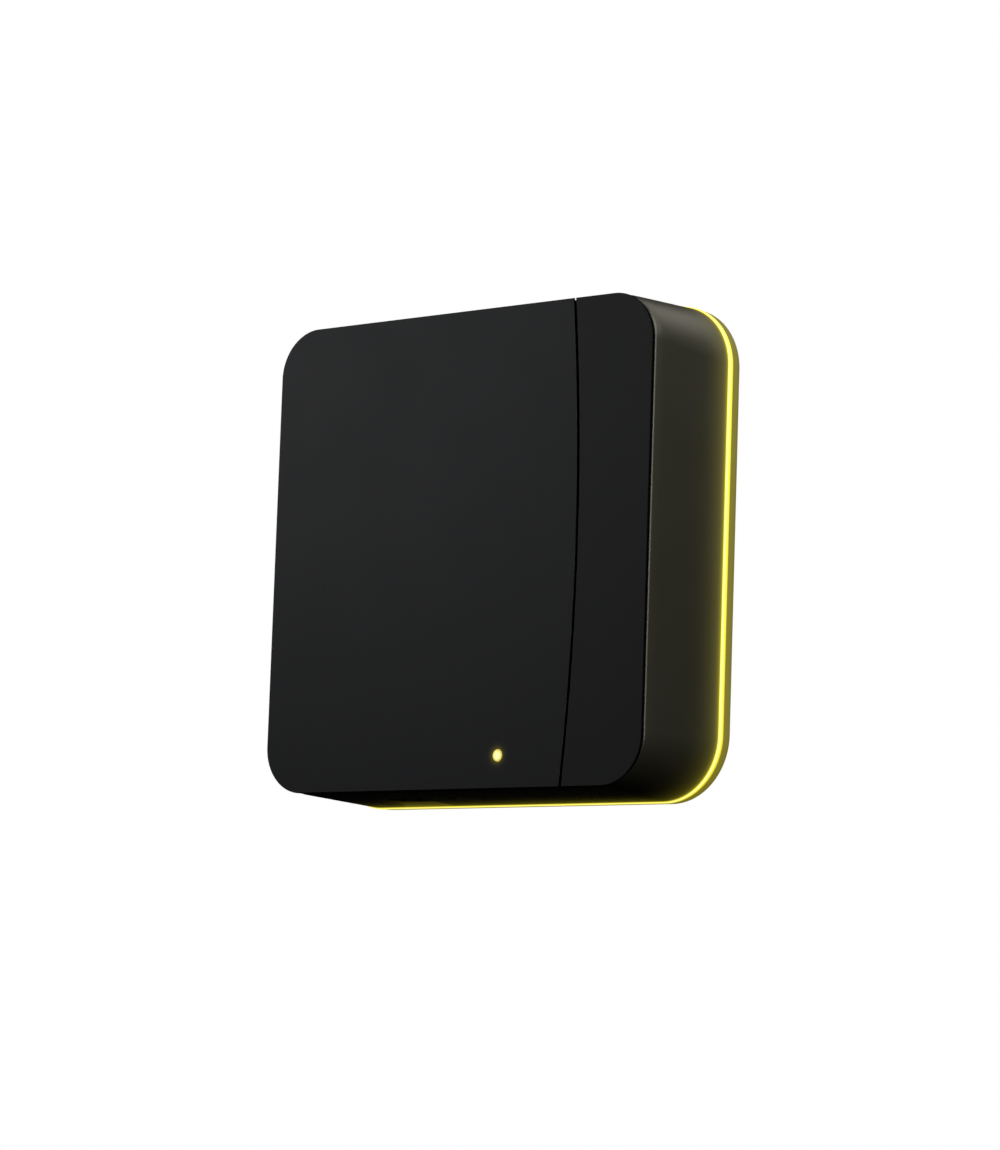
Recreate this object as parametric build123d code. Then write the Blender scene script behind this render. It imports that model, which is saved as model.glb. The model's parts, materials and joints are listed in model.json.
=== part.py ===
from build123d import *
import os

# A smart home hub that hangs on a wall bracket. Two flat covers float in front of a flared
# square housing, and a ring of light shines out between the housing and its back cover.
#
# Modelling frame: x to the right, y up, z from the wall (0) out to the front face (DEPTH).
# write_part turns each piece into the part's own frame: +X right, +Z up, +Y into the wall.
# All sizes are in millimetres.

# ---------------------------------------------------------------- overall shape
WIDTH = 120.0            # front face, side to side
HEIGHT = 120.0           # front face, top to bottom
DEPTH = 34.5             # wall to front face
FLARE = 1.93             # how much further out each side stands at the wall than at the face
CORNER_FACE = 12.0       # corner radius at the front face
CORNER_WALL = 16.8       # corner radius at the wall
SMALLEST_CORNER = 1.0    # corner radius where an inset has used the rest up
OVERRUN = 1.0            # how far a cut runs past the face it opens

# ---------------------------------------------------------------- casing walls
WALL = 2.2               # side wall of the housing
FRONT_WALL = 2.0         # wall behind the covers
WALL_GAP = 0.7           # air between the back cover and the wall
BACK_EDGE = 3.0          # visible edge of the back cover
GUIDE_BAND = 1.8         # visible edge of the light guide
GUIDE_PROUD = 0.25       # light guide stands this far out of the casing
GUIDE_REACH = 5.0        # light guide, from the casing's side inwards
BACK_ROUND = 0.5
RIM_ROUND = 1.0          # front edge of the housing
RIM_LEAD = 4.0           # the side starts to curl in this far below the rim
RIM_LEAD_IN = 0.35       # how far it has curled in at the rim
RIM_LEAD_STEPS = 3
RIM_STRAIGHT = 1.3       # last stretch of the side before the rim, where its round begins

# ---------------------------------------------------------------- covers
COVER = 2.0              # thickness of both covers
COVER_EDGE = 0.35        # thickness at the very edge
COVER_ROOT = 1.0         # thickness where the flange meets the body of the cover
COVER_ROUND = 0.2
COVER_SEAT_GAP = 0.2     # air between a cover and the wall behind it
REVEAL = 0.85            # shadow gap between the cover's edge and the housing's rim
COVER_SIDE_GAP = 0.4     # body of the cover to the inside of the rim
SERVICE_WIDTH = 21.3     # service cover at half height
SEAM_RADIUS = 624.0      # the seam bows towards the service cover
SEAM = 0.55              # gap between the two covers

# ---------------------------------------------------------------- cover clips, pins and magnets
CLIP_LENGTH, CLIP, CLIP_BARB = 6.0, 1.2, 0.8
CLIP_GAP = 0.3           # slot around a clip
CLIP_REACH = 0.9         # clip's end past the front wall, and its barb's height
CLIP_FROM_EDGE = 6.5
CLIP_SPACING = 68.0
PIN_RADIUS, PIN_GAP, PIN_REACH = 1.2, 0.3, 0.8
PIN_FROM_END = 9.5
MAGNET_RADIUS, MAGNET, MAGNET_GAP = 2.5, 1.1, 0.05
MAGNET_SPACING = 64.0

# ---------------------------------------------------------------- status light
STATUS_X = 16.1
STATUS_FROM_BOTTOM = 8.1
PIPE_RADIUS, PIPE_GAP, PIPE_ROUND = 1.55, 0.1, 0.2
PIPE_SUNK = 0.1          # pipe's end below the cover's face
PIPE_FLANGE_RADIUS, PIPE_FLANGE = 2.6, 1.0
STATUS_LED = (2.0, 1.2, 0.8)

# ---------------------------------------------------------------- service bay and buttons
BAY_WIDTH, BAY_HEIGHT = 13.0, 46.0
BAY_WALL = 1.5
BAY_CORNER = 2.0
PAIR_Y, PAIR_RADIUS, PAIR_PROUD = 13.0, 4.5, 1.2
RESET_Y, RESET_RADIUS, RESET_PROUD = -14.0, 2.2, 0.5
BUTTON_GAP = 0.3         # cap in its hole, all round
BUTTON_LIP = 1.1         # flange that keeps a cap in
BUTTON_FLANGE = 1.0
BUTTON_FLANGE_GAP = 0.1
BUTTON_STEM_RADIUS, BUTTON_STEM = 1.6, 1.0
BUTTON_ROUND = 0.4
BUTTON_TRAVEL = 0.5
SWITCH_SIZE, SWITCH_HEIGHT = 5.2, 1.6
PLUNGER_RADIUS, PLUNGER_GAP = 1.4, 0.3
PLUNGER_PROUD, PLUNGER_INSIDE, PLUNGER_END_GAP = 0.6, 0.6, 0.1

# ---------------------------------------------------------------- casing screws
BOSS_FROM_SIDE = 15.5    # from the face's side to a boss's axis
BOSS_RADIUS = 3.5
SPIGOT = 2.0             # back cover's seat for each boss
SPIGOT_RADIUS = 4.5
SCREW_RADIUS, SCREW_GAP = 1.5, 0.2
SCREW_HEAD_RADIUS, SCREW_HEAD, SCREW_HEAD_GAP = 2.75, 1.8, 0.4
SCREW_HEAD_SUNK = 0.6
HEAD_ROUND = 0.33        # round of a screw's head, as a share of the head's height
SCREW_LENGTH = 7.5
DRIVE_RADIUS, DRIVE = 1.0, 1.0
INSERT_RADIUS, INSERT_LENGTH = 2.1, 5.5
THREAD_GAP = 0.02        # plain cylinders stand for the threads

# ---------------------------------------------------------------- wall bracket
BRACKET_WIDTH, BRACKET_HEIGHT, BRACKET = 76.0, 56.0, 3.0
BRACKET_CORNER, BRACKET_CHAMFER = 6.0, 0.5
BRACKET_GAP = 0.4        # bracket to its recess, on every side
HOLE_SPACING_X, HOLE_SPACING_Y, HOLE_RADIUS = 60.0, 40.0, 2.25
SINK_RADIUS = 3.9
STUD_X, STUD_Y = 17.0, 14.0
STUD_RADIUS, STUD_HEAD_RADIUS, STUD_HEAD, STUD_CHAMFER = 2.0, 4.0, 1.4, 0.45
STUD_FOOT_RADIUS, STUD_FOOT = 3.2, 0.8
STUD_GAP = 0.3           # neck in its slot, and head over the pan
LIFT = 8.0               # hub slides up this far to come off its studs
PAN = 2.0                # back cover's wall over the recess
PAN_RIM = 2.0
FOOT_RADIUS, FOOT_SUNK, FOOT_GAP, FOOT_X, FOOT_Y = 5.5, 0.5, 0.05, 51.0, 20.0

# ---------------------------------------------------------------- boards
BOARD = 1.6
BOARD_SIDE_GAP = 4.0     # main board to the cavity, at the sides and the top
BOARD_PORT_GAP = 0.9     # main board to the cavity, at the ports
BOARD_NOTCH_GAP = 1.2    # main board to a boss
BOARD_SCREW_X_GAP, BOARD_SCREW_Y = 5.2, 31.0
STANDOFF_RADIUS = 3.0
BOARD_SCREW_RADIUS, BOARD_SCREW_LENGTH = 1.25, 6.0
BOARD_SCREW_HEAD_RADIUS, BOARD_SCREW_HEAD = 2.3, 1.4
BOARD_SCREW_END_GAP = 0.4
HALO_BOARD, HALO_BOARD_BAND = 1.0, 7.0
HALO_GAP = 0.2           # LEDs to the light guide and to the back cover
HALO_LED = (3.0, 1.1, 1.5)
HALO_LEDS_PER_SIDE = 7
HALO_LED_SPACING = 13.0
STAKE_RADIUS, STAKE_SHOULDER, STAKE_HEAD_RADIUS, STAKE_HEAD = 0.7, 1.6, 1.3, 0.7
STAKE_X = 12.0           # stakes of the top and bottom sides, beside the ribbon's socket

# ---------------------------------------------------------------- ports, both in the underside
JACK_X = -28.0
JACK_GAP = 0.3           # jack to the halo board
JACK_MOUTH_WIDTH, JACK_MOUTH_HEIGHT, JACK_MOUTH_DEPTH = 11.9, 8.0, 13.0
JACK_LATCH_WIDTH, JACK_LATCH_HEIGHT = 4.2, 2.0
JACK_SIDE, JACK_FLOOR, JACK_ROOF, JACK_END = 2.05, 1.4, 2.0, 8.3    # jack's walls round its mouth
JACK_PINS, JACK_PIN_PITCH, JACK_PIN, JACK_PIN_LENGTH = 8, 1.02, 0.35, 9.75
INLET_X, INLET_WIDTH, INLET_HEIGHT, INLET_LENGTH = -7.0, 8.94, 3.26, 7.35
INLET_WALL = 0.3
TONGUE = (6.7, 0.7, 4.6)
PORT_GAP = 0.3           # port in its hole, all round
PORT_SUNK = 0.4          # port's face behind the underside
VENT_WIDTH, VENT_LENGTH, VENT_PITCH = 1.6, 9.0, 4.0
TOP_VENTS, BOTTOM_VENTS = 5, 10
TOP_VENT_X = 33.0        # middle of each row in the top, one row each side of the aerial
BOTTOM_VENT_X = 24.0     # middle of the row in the underside
TOP_VENT_BELOW_FACE = 12.0
BOTTOM_VENT_OUT = 12.0

# ---------------------------------------------------------------- electronics
CAN = (42.0, 40.0, 2.2)
CAN_WALL = 0.2
CAN_Y = 6.0
CHIP = (15.0, 15.0, 1.2)
CHIP_X, CHIP_Y = -8.0, 8.0
MEMORY = (9.0, 13.0, 1.0)
MEMORY_X, MEMORY_PITCH = 9.0, 15.0
PAD_STACK = 0.8          # thermal pad between the can and the heat spreader
PAD_SIDE = 20.0
SPREADER = (66.0, 62.0, 1.5)
SPREADER_CORNER = 4.0
SPREADER_POST_X, SPREADER_POST_Y, SPREADER_POST_RADIUS = 28.0, 26.0, 2.5
RADIO = (13.0, 18.0, 2.2)
RADIO_CAN_LENGTH, RADIO_CAN_EDGE = 12.6, 0.8
WIFI_ALONG, WIFI_OUT = 16.0, 34.0    # along the left wall, and out towards it
MESH_ALONG, MESH_OUT = 4.0, 41.0     # along the top wall, and out towards it
RADIO_BOARD = 0.8
AERIAL_LENGTH, AERIAL_WIDTH, AERIAL = 40.0, 8.0, 0.8
AERIAL_WALL_GAP = 1.6    # aerial board to the casing's wall, at the board's outer edge
LEAD_RADIUS, LEAD_JOG, LEAD_BEND = 0.6, 3.0, 2.2
HOLDER_LENGTH, HOLDER_WIDTH, HOLDER_GAP, HOLDER_CHEEK = 4.0, 5.0, 0.1, 1.0
PLUG_RADIUS, PLUG = 1.3, 1.2
CELL_X, CELL_Y, CELL_RADIUS, CELL = 22.0, 16.0, 10.0, 3.2
HOLDER_RADIUS, HOLDER_FLOOR, HOLDER_WALL_HEIGHT = 11.2, 0.8, 2.4
COIL, COIL_CHAMFER = (7.0, 7.0, 4.0), 1.0
COIL_X, COIL_Y = 6.0, -40.0
CAPACITORS, CAPACITOR_RADIUS, CAPACITOR, CAPACITOR_PITCH = 3, 3.15, 7.7, 8.0
CAPACITOR_X, CAPACITOR_Y = 16.0, -40.0
SOCKET = (12.0, 2.4, 2.0)
RIBBON_WIDTH, RIBBON, RIBBON_INSIDE = 8.0, 0.3, 1.2

# ---------------------------------------------------------------- heights above the wall
COVER_BACK = DEPTH - COVER
RIM_TOP = DEPTH - COVER_EDGE - REVEAL
FRONT_WALL_TOP = COVER_BACK - COVER_SEAT_GAP
FRONT_WALL_BOTTOM = FRONT_WALL_TOP - FRONT_WALL
BACK_IN = WALL_GAP + BACK_EDGE
GUIDE_TOP = BACK_IN + GUIDE_BAND
BOSS_END = BACK_IN + SPIGOT
RECESS_TOP = BRACKET + BRACKET_GAP
PAN_TOP = RECESS_TOP + PAN
JACK_WIDTH = JACK_MOUTH_WIDTH + 2 * JACK_SIDE
JACK_HEIGHT = JACK_FLOOR + JACK_LATCH_HEIGHT + JACK_MOUTH_HEIGHT + JACK_ROOF
JACK_LENGTH = JACK_MOUTH_DEPTH + JACK_END
HALO_LED_LOW = BACK_IN + HALO_GAP
HALO_BOARD_LOW = HALO_LED_LOW + HALO_LED[2]
HALO_BOARD_TOP = HALO_BOARD_LOW + HALO_BOARD
BOARD_BACK = HALO_BOARD_TOP + JACK_GAP + JACK_HEIGHT
BOARD_FRONT = BOARD_BACK + BOARD
CAN_TOP = BOARD_FRONT + CAN[2]
SPREADER_BACK = CAN_TOP + PAD_STACK
SPREADER_FRONT = SPREADER_BACK + SPREADER[2]
SWITCH_TOP = BOARD_FRONT + SWITCH_HEIGHT
PLUNGER_TOP = SWITCH_TOP + PLUNGER_PROUD
BAY_FLOOR_BOTTOM = PLUNGER_TOP + BUTTON_STEM + BUTTON_FLANGE + BUTTON_FLANGE_GAP
BAY_FLOOR_TOP = BAY_FLOOR_BOTTOM + BAY_WALL
LEAD_Z = BOARD_FRONT + RADIO_BOARD + PLUG / 2
AERIAL_HIGH = LEAD_Z + AERIAL_WIDTH / 2

# ---------------------------------------------------------------- places across the face
SEAM_X = WIDTH / 2 - SERVICE_WIDTH
SEAM_CENTRE_X = SEAM_X - SEAM_RADIUS
COVER_INSET = WALL + COVER_SIDE_GAP
BAY_X = (SEAM_X + WIDTH / 2 - WALL) / 2
STATUS_Y = STATUS_FROM_BOTTOM - HEIGHT / 2
BOSS_X = WIDTH / 2 - BOSS_FROM_SIDE
BOSS_Y = HEIGHT / 2 - BOSS_FROM_SIDE
PIN_Y = HEIGHT / 2 - PIN_FROM_END
CLIP_X = WIDTH / 2 - CLIP_FROM_EDGE
CLIP_Y = HEIGHT / 2 - CLIP_FROM_EDGE


# ================================================================ the casing's outline
def half_size(side, z, inset=0.0):
    """Half the casing's width or height at a height above the wall, less an inset."""
    return side / 2 + FLARE * (DEPTH - z) / DEPTH - inset


def outline(z, inset=0.0):
    """The casing's rounded square at a height above the wall."""
    corner = CORNER_FACE + (CORNER_WALL - CORNER_FACE) * (DEPTH - z) / DEPTH - inset
    rounded = RectangleRounded(
        2 * half_size(WIDTH, z, inset), 2 * half_size(HEIGHT, z, inset), max(corner, SMALLEST_CORNER)
    )
    return Pos(0, 0, z) * rounded


def flared(low, high, inset=0.0, inset_high=None):
    """A solid between two heights, with the casing's flared sides."""
    top_inset = inset if inset_high is None else inset_high
    return loft([outline(low, inset), outline(high, top_inset)], ruled=True)


def block(x, y, low, size_x, size_y, height):
    """A box centred on x and y, standing on a height."""
    return Pos(x, y, low + height / 2) * Box(size_x, size_y, height)


def rod(x, y, low, high, radius):
    """A cylinder along z between two heights."""
    return Pos(x, y, (low + high) / 2) * Cylinder(radius, high - low)


def corners(x, y):
    """The four places at plus and minus x and y."""
    return [(sx * x, sy * y) for sx in (-1, 1) for sy in (-1, 1)]


def top_edges(shape, z):
    """Edges that lie flat at a height."""
    return shape.edges().filter_by_position(Axis.Z, z - 1e-4, z + 1e-4)


def write_part(name, shape):
    """Turns a piece from the modelling frame into the part's frame and writes it."""
    export_step(Rot(90, 0, 0) * shape, os.path.join("parts", name + ".step"))


# ================================================================ covers
def cover_blank():
    """Both covers as one plate: a thin flange that overhangs the rim, on a thicker body."""
    edge_low = DEPTH - COVER_EDGE
    root_low = DEPTH - COVER_ROOT
    flange = loft([outline(root_low, COVER_INSET), outline(edge_low)], ruled=True)
    return flared(edge_low, DEPTH) + flange + flared(COVER_BACK, edge_low, COVER_INSET)


def seam_cylinder(offset):
    """Everything to the left of the seam, its edge moved right by an offset."""
    return Pos(SEAM_CENTRE_X, 0, DEPTH / 2) * Cylinder(SEAM_RADIUS + offset, 2 * DEPTH)


def round_face(cover):
    """Softens every edge of a cover's face, along the seam as well."""
    return fillet(top_edges(cover, DEPTH), COVER_ROUND)


def clip_places():
    """Middle of each clip, with the direction that its barb points in."""
    seam_side = SEAM_X - CLIP_FROM_EDGE
    places = [(-CLIP_X, sy * CLIP_SPACING / 2, -1, 0) for sy in (-1, 1)]
    places += [(seam_side, sy * CLIP_SPACING / 2, 1, 0) for sy in (-1, 1)]
    places += [((seam_side - CLIP_X) / 2, sy * CLIP_Y, 0, sy) for sy in (-1, 1)]
    return places


def clip(x, y, way_x, way_y):
    """A snap arm on the back of the main cover, with a barb under the front wall."""
    low = FRONT_WALL_BOTTOM - CLIP_REACH
    size_x, size_y = (CLIP, CLIP_LENGTH) if way_x else (CLIP_LENGTH, CLIP)
    arm = block(x, y, low, size_x, size_y, COVER_BACK - low)
    shift = (CLIP + CLIP_BARB) / 2
    barb_x, barb_y = (CLIP_BARB, CLIP_LENGTH) if way_x else (CLIP_LENGTH, CLIP_BARB)
    return arm + block(x + shift * way_x, y + shift * way_y, low, barb_x, barb_y, CLIP_REACH)


def clip_slot(x, y, way_x, way_y):
    """The hole in the front wall for one clip."""
    size_x, size_y = (CLIP, CLIP_LENGTH) if way_x else (CLIP_LENGTH, CLIP)
    low = FRONT_WALL_BOTTOM - OVERRUN
    return block(x, y, low, size_x + 2 * CLIP_GAP, size_y + 2 * CLIP_GAP, FRONT_WALL + 2 * OVERRUN)


def main_cover():
    cover = round_face(cover_blank() & seam_cylinder(-SEAM / 2))
    for place in clip_places():
        cover += clip(*place)
    return cover - rod(STATUS_X, STATUS_Y, 0, DEPTH + OVERRUN, PIPE_RADIUS + PIPE_GAP)


def service_cover():
    cover = round_face(cover_blank() - seam_cylinder(SEAM / 2))
    for sign in (-1, 1):
        cover += rod(BAY_X, sign * PIN_Y, FRONT_WALL_BOTTOM - PIN_REACH, COVER_BACK, PIN_RADIUS)
        pocket_radius = MAGNET_RADIUS + MAGNET_GAP
        cover -= rod(BAY_X, sign * MAGNET_SPACING / 2, 0, COVER_BACK + MAGNET + MAGNET_GAP, pocket_radius)
    return cover


def magnets(low):
    """Two disc magnets, one at each end of the bay."""
    return Compound(
        [rod(BAY_X, sign * MAGNET_SPACING / 2, low, low + MAGNET, MAGNET_RADIUS) for sign in (-1, 1)]
    )


def status_light_pipe():
    low = BOARD_FRONT + STATUS_LED[2] + PIPE_GAP
    high = DEPTH - PIPE_SUNK
    flange_top = FRONT_WALL_BOTTOM
    pipe = rod(STATUS_X, STATUS_Y, low, high, PIPE_RADIUS)
    pipe = fillet(top_edges(pipe, high), PIPE_ROUND)
    return pipe + rod(STATUS_X, STATUS_Y, flange_top - PIPE_FLANGE, flange_top, PIPE_FLANGE_RADIUS)


# ================================================================ housing
def rounded_block(x, y, low, size_x, size_y, height, corner):
    """A box with rounded upright edges."""
    return extrude(Pos(x, y, low) * RectangleRounded(size_x, size_y, corner), height)


def jack_face_y():
    """The plane that both ports' mouths lie in, just inside the underside."""
    return PORT_SUNK - half_size(HEIGHT, BOARD_BACK)


def port_holes():
    """Holes through the underside for the network jack and the power inlet."""
    outer = half_size(HEIGHT, BACK_IN)
    length = outer - half_size(HEIGHT, BOARD_BACK + PORT_GAP, WALL) + 2 * OVERRUN
    y = -outer + length / 2 - OVERRUN
    gap = 2 * PORT_GAP
    jack = Pos(JACK_X, y, BOARD_BACK - JACK_HEIGHT / 2) * Box(JACK_WIDTH + gap, length, JACK_HEIGHT + gap)
    inlet_z = BOARD_BACK - INLET_HEIGHT / 2
    slot = Rot(90, 0, 0) * SlotOverall(INLET_WIDTH + gap, INLET_HEIGHT + gap)
    inlet = Pos(INLET_X, y - length / 2, inlet_z) * extrude(slot, -length)
    return jack + inlet


def vents(count, middle, side, z):
    """A row of slots through the top (side 1) or the underside (side -1)."""
    y = side * half_size(HEIGHT, z, WALL / 2)
    first = middle - (count - 1) * VENT_PITCH / 2
    slots = [
        Pos(first + i * VENT_PITCH, y, z) * Box(VENT_WIDTH, WALL + 2 * OVERRUN, VENT_LENGTH)
        for i in range(count)
    ]
    return Compound(slots)


def aerial_y(side):
    """Middle of an aerial board's thickness, measured from the hub's axis towards a wall."""
    return half_size(side, AERIAL_HIGH, WALL) - AERIAL_WALL_GAP - AERIAL / 2


def aerial_holders(side):
    """Two slotted blocks that grip the ends of an aerial board beside a wall."""
    y = aerial_y(side)
    depth = half_size(side, BACK_IN) - y + AERIAL / 2 + HOLDER_CHEEK
    slot = Pos(0, y, LEAD_Z) * Box(
        AERIAL_LENGTH + 2 * HOLDER_GAP, AERIAL + 2 * HOLDER_GAP, AERIAL_WIDTH + 2 * HOLDER_GAP
    )
    blocks = [
        Pos(sx * AERIAL_LENGTH / 2, y - AERIAL / 2 - HOLDER_CHEEK + depth / 2, LEAD_Z)
        * Box(HOLDER_LENGTH, depth, HOLDER_WIDTH)
        for sx in (-1, 1)
    ]
    return blocks[0] + blocks[1] - slot


def screw_hole(x, y, seat):
    """The hole in a post for a small screw whose head bears at a height."""
    top = seat + BOARD_SCREW_LENGTH - BOARD_SCREW_HEAD + BOARD_SCREW_END_GAP
    return rod(x, y, 0, top, BOARD_SCREW_RADIUS + THREAD_GAP)


def housing_outside():
    """The flared outside, its sides curling in a little before they turn over the rim."""
    sections = [outline(GUIDE_TOP)]
    for i in range(RIM_LEAD_STEPS + 1):
        below = RIM_LEAD - (RIM_LEAD - RIM_STRAIGHT) * i / RIM_LEAD_STEPS
        sections.append(outline(RIM_TOP - below, RIM_LEAD_IN * (1 - below / RIM_LEAD) ** 2))
    sections.append(outline(RIM_TOP, RIM_LEAD_IN))
    outside = loft(sections, ruled=True)
    return fillet(top_edges(outside, RIM_TOP), RIM_ROUND)


def housing_shell():
    shell = housing_outside()
    shell -= flared(FRONT_WALL_TOP, RIM_TOP + OVERRUN, WALL)
    shell -= flared(GUIDE_TOP - OVERRUN, FRONT_WALL_BOTTOM, WALL)

    inside = aerial_holders(HEIGHT) + Rot(0, 0, 90) * aerial_holders(WIDTH)
    for x, y in corners(BOSS_X, BOSS_Y):
        inside += rod(x, y, BOSS_END, FRONT_WALL_TOP, BOSS_RADIUS)
        inside -= rod(x, y, 0, BOSS_END + INSERT_LENGTH + SCREW_LENGTH / 2, INSERT_RADIUS + THREAD_GAP)
    for x, y in corners(board_screw_x(), BOARD_SCREW_Y):
        inside += rod(x, y, BOARD_FRONT, FRONT_WALL_TOP, STANDOFF_RADIUS)
    for x, y in corners(SPREADER_POST_X, SPREADER_POST_Y):
        inside += rod(x, y, SPREADER_FRONT, FRONT_WALL_TOP, SPREADER_POST_RADIUS)
    bay_low = BAY_FLOOR_BOTTOM
    inside += rounded_block(
        BAY_X, 0, bay_low, BAY_WIDTH + 2 * BAY_WALL, BAY_HEIGHT + 2 * BAY_WALL,
        FRONT_WALL_TOP - bay_low, BAY_CORNER + BAY_WALL,
    )
    shell += inside & flared(GUIDE_TOP, FRONT_WALL_TOP, WALL / 2)
    for x, y in corners(board_screw_x(), BOARD_SCREW_Y):
        shell -= screw_hole(x, y, BOARD_BACK)
    for x, y in corners(SPREADER_POST_X, SPREADER_POST_Y):
        shell -= screw_hole(x, y, SPREADER_BACK)

    shell -= rounded_block(
        BAY_X, 0, BAY_FLOOR_TOP, BAY_WIDTH, BAY_HEIGHT, RIM_TOP - BAY_FLOOR_TOP, BAY_CORNER
    )
    for y, radius in ((PAIR_Y, PAIR_RADIUS), (RESET_Y, RESET_RADIUS)):
        shell -= rod(BAY_X, y, bay_low - OVERRUN, BAY_FLOOR_TOP + OVERRUN, radius + BUTTON_GAP)
    for sign in (-1, 1):
        shell -= rod(BAY_X, sign * PIN_Y, FRONT_WALL_BOTTOM - PIN_REACH, RIM_TOP, PIN_RADIUS + PIN_GAP)
        pocket_low = FRONT_WALL_TOP - MAGNET - MAGNET_GAP
        shell -= rod(BAY_X, sign * MAGNET_SPACING / 2, pocket_low, RIM_TOP, MAGNET_RADIUS + MAGNET_GAP)
    for place in clip_places():
        shell -= clip_slot(*place)
    shell -= rod(STATUS_X, STATUS_Y, FRONT_WALL_BOTTOM - OVERRUN, RIM_TOP, PIPE_RADIUS + PIPE_GAP)
    shell -= port_holes()
    for sign in (-1, 1):
        shell -= vents(TOP_VENTS, sign * TOP_VENT_X, 1, DEPTH - TOP_VENT_BELOW_FACE)
    return shell - vents(BOTTOM_VENTS, BOTTOM_VENT_X, -1, BOTTOM_VENT_OUT)


def light_guide():
    ring = flared(BACK_IN, GUIDE_TOP, -GUIDE_PROUD)
    ring = fillet(top_edges(ring, BACK_IN) + top_edges(ring, GUIDE_TOP), GUIDE_PROUD)
    return ring - flared(BACK_IN - OVERRUN, GUIDE_TOP + OVERRUN, GUIDE_REACH)


# ================================================================ back cover and wall bracket
def recess(low, high, margin):
    """The bracket's outline and the travel under it, grown by a margin."""
    middle = -LIFT / 2
    return rounded_block(
        0, middle, low, BRACKET_WIDTH + 2 * margin, BRACKET_HEIGHT + LIFT + 2 * margin,
        high - low, BRACKET_CORNER + margin,
    )


def keyhole(x, y):
    """Slot that a stud slides in, with a round hole below it that lets the head through."""
    low, high = RECESS_TOP - OVERRUN, PAN_TOP + OVERRUN
    neck = STUD_RADIUS + STUD_GAP
    slot = rod(x, y, low, high, neck) + block(x, y - LIFT / 2, low, 2 * neck, LIFT, high - low)
    return slot + rod(x, y - LIFT, low, high, STUD_HEAD_RADIUS + STUD_GAP)


def stake_places():
    """One stake on each side, on the centreline of the halo board."""
    reach_x = half_size(WIDTH, HALO_BOARD_LOW, halo_board_middle())
    reach_y = half_size(HEIGHT, HALO_BOARD_LOW, halo_board_middle())
    return [(reach_x, 0), (-reach_x, 0), (STAKE_X, reach_y), (STAKE_X, -reach_y)]


def stake(x, y):
    """A post on the back cover that carries the halo board, with a peg and a melted head."""
    post = rod(x, y, BACK_IN, HALO_BOARD_LOW, STAKE_SHOULDER)
    post += rod(x, y, HALO_BOARD_LOW, HALO_BOARD_TOP, STAKE_RADIUS)
    return post + rod(x, y, HALO_BOARD_TOP, HALO_BOARD_TOP + STAKE_HEAD, STAKE_HEAD_RADIUS)


def back_cover():
    cover = flared(WALL_GAP, BACK_IN)
    cover = fillet(top_edges(cover, WALL_GAP), BACK_ROUND)
    cover += recess(BACK_IN, PAN_TOP, BRACKET_GAP + PAN_RIM)
    for x, y in corners(BOSS_X, BOSS_Y):
        cover += rod(x, y, BACK_IN, BOSS_END, SPIGOT_RADIUS)
    for x, y in stake_places():
        cover += stake(x, y)
    cover -= recess(0, RECESS_TOP, BRACKET_GAP)
    for x, y in corners(STUD_X, STUD_Y):
        cover -= keyhole(x, y)
    for x, y in corners(BOSS_X, BOSS_Y):
        cover -= rod(x, y, 0, BOSS_END + OVERRUN, SCREW_RADIUS + SCREW_GAP)
        cover -= rod(x, y, 0, screw_seat(), SCREW_HEAD_RADIUS + SCREW_HEAD_GAP)
    for x, y in corners(FOOT_X, FOOT_Y):
        cover -= rod(x, y, 0, WALL_GAP + FOOT_SUNK, FOOT_RADIUS + FOOT_GAP)
    return cover


def wall_feet():
    return Compound([rod(x, y, 0, WALL_GAP + FOOT_SUNK, FOOT_RADIUS) for x, y in corners(FOOT_X, FOOT_Y)])


def wall_bracket():
    plate = rounded_block(0, 0, 0, BRACKET_WIDTH, BRACKET_HEIGHT, BRACKET, BRACKET_CORNER)
    plate = chamfer(top_edges(plate, BRACKET), BRACKET_CHAMFER)
    sink = SINK_RADIUS - HOLE_RADIUS
    for x, y in corners(HOLE_SPACING_X / 2, HOLE_SPACING_Y / 2):
        plate -= rod(x, y, -OVERRUN, BRACKET + OVERRUN, HOLE_RADIUS)
        plate -= Pos(x, y, BRACKET - sink / 2) * Cone(HOLE_RADIUS, SINK_RADIUS, sink)
    for x, y in corners(STUD_X, STUD_Y):
        plate -= rod(x, y, -OVERRUN, BRACKET + OVERRUN, STUD_RADIUS)
        plate -= rod(x, y, -OVERRUN, STUD_FOOT, STUD_FOOT_RADIUS)
    return plate


def hanging_studs():
    """Four headed studs riveted through the bracket."""
    head_low = PAN_TOP + STUD_GAP
    studs = []
    for x, y in corners(STUD_X, STUD_Y):
        stud = rod(x, y, 0, head_low, STUD_RADIUS) + rod(x, y, 0, STUD_FOOT, STUD_FOOT_RADIUS)
        head = rod(x, y, head_low, head_low + STUD_HEAD, STUD_HEAD_RADIUS)
        studs.append(stud + chamfer(top_edges(head, head_low + STUD_HEAD), STUD_CHAMFER))
    return Compound(studs)


# ================================================================ fasteners
def screw_seat():
    """Height of the face that a casing screw's head bears on."""
    return WALL_GAP + SCREW_HEAD_SUNK + SCREW_HEAD


def screw(x, y, seat, radius, length, head_radius, head):
    """A pan-head screw driven towards +z, with a round drive recess."""
    body = rod(x, y, seat - head, seat, head_radius)
    body = fillet(top_edges(body, seat - head), head * HEAD_ROUND)
    body += rod(x, y, seat, seat + length, radius)
    return body - rod(x, y, 0, seat - head + DRIVE, DRIVE_RADIUS)


def housing_screws():
    return Compound([
        screw(x, y, screw_seat(), SCREW_RADIUS, SCREW_LENGTH, SCREW_HEAD_RADIUS, SCREW_HEAD)
        for x, y in corners(BOSS_X, BOSS_Y)
    ])


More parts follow.
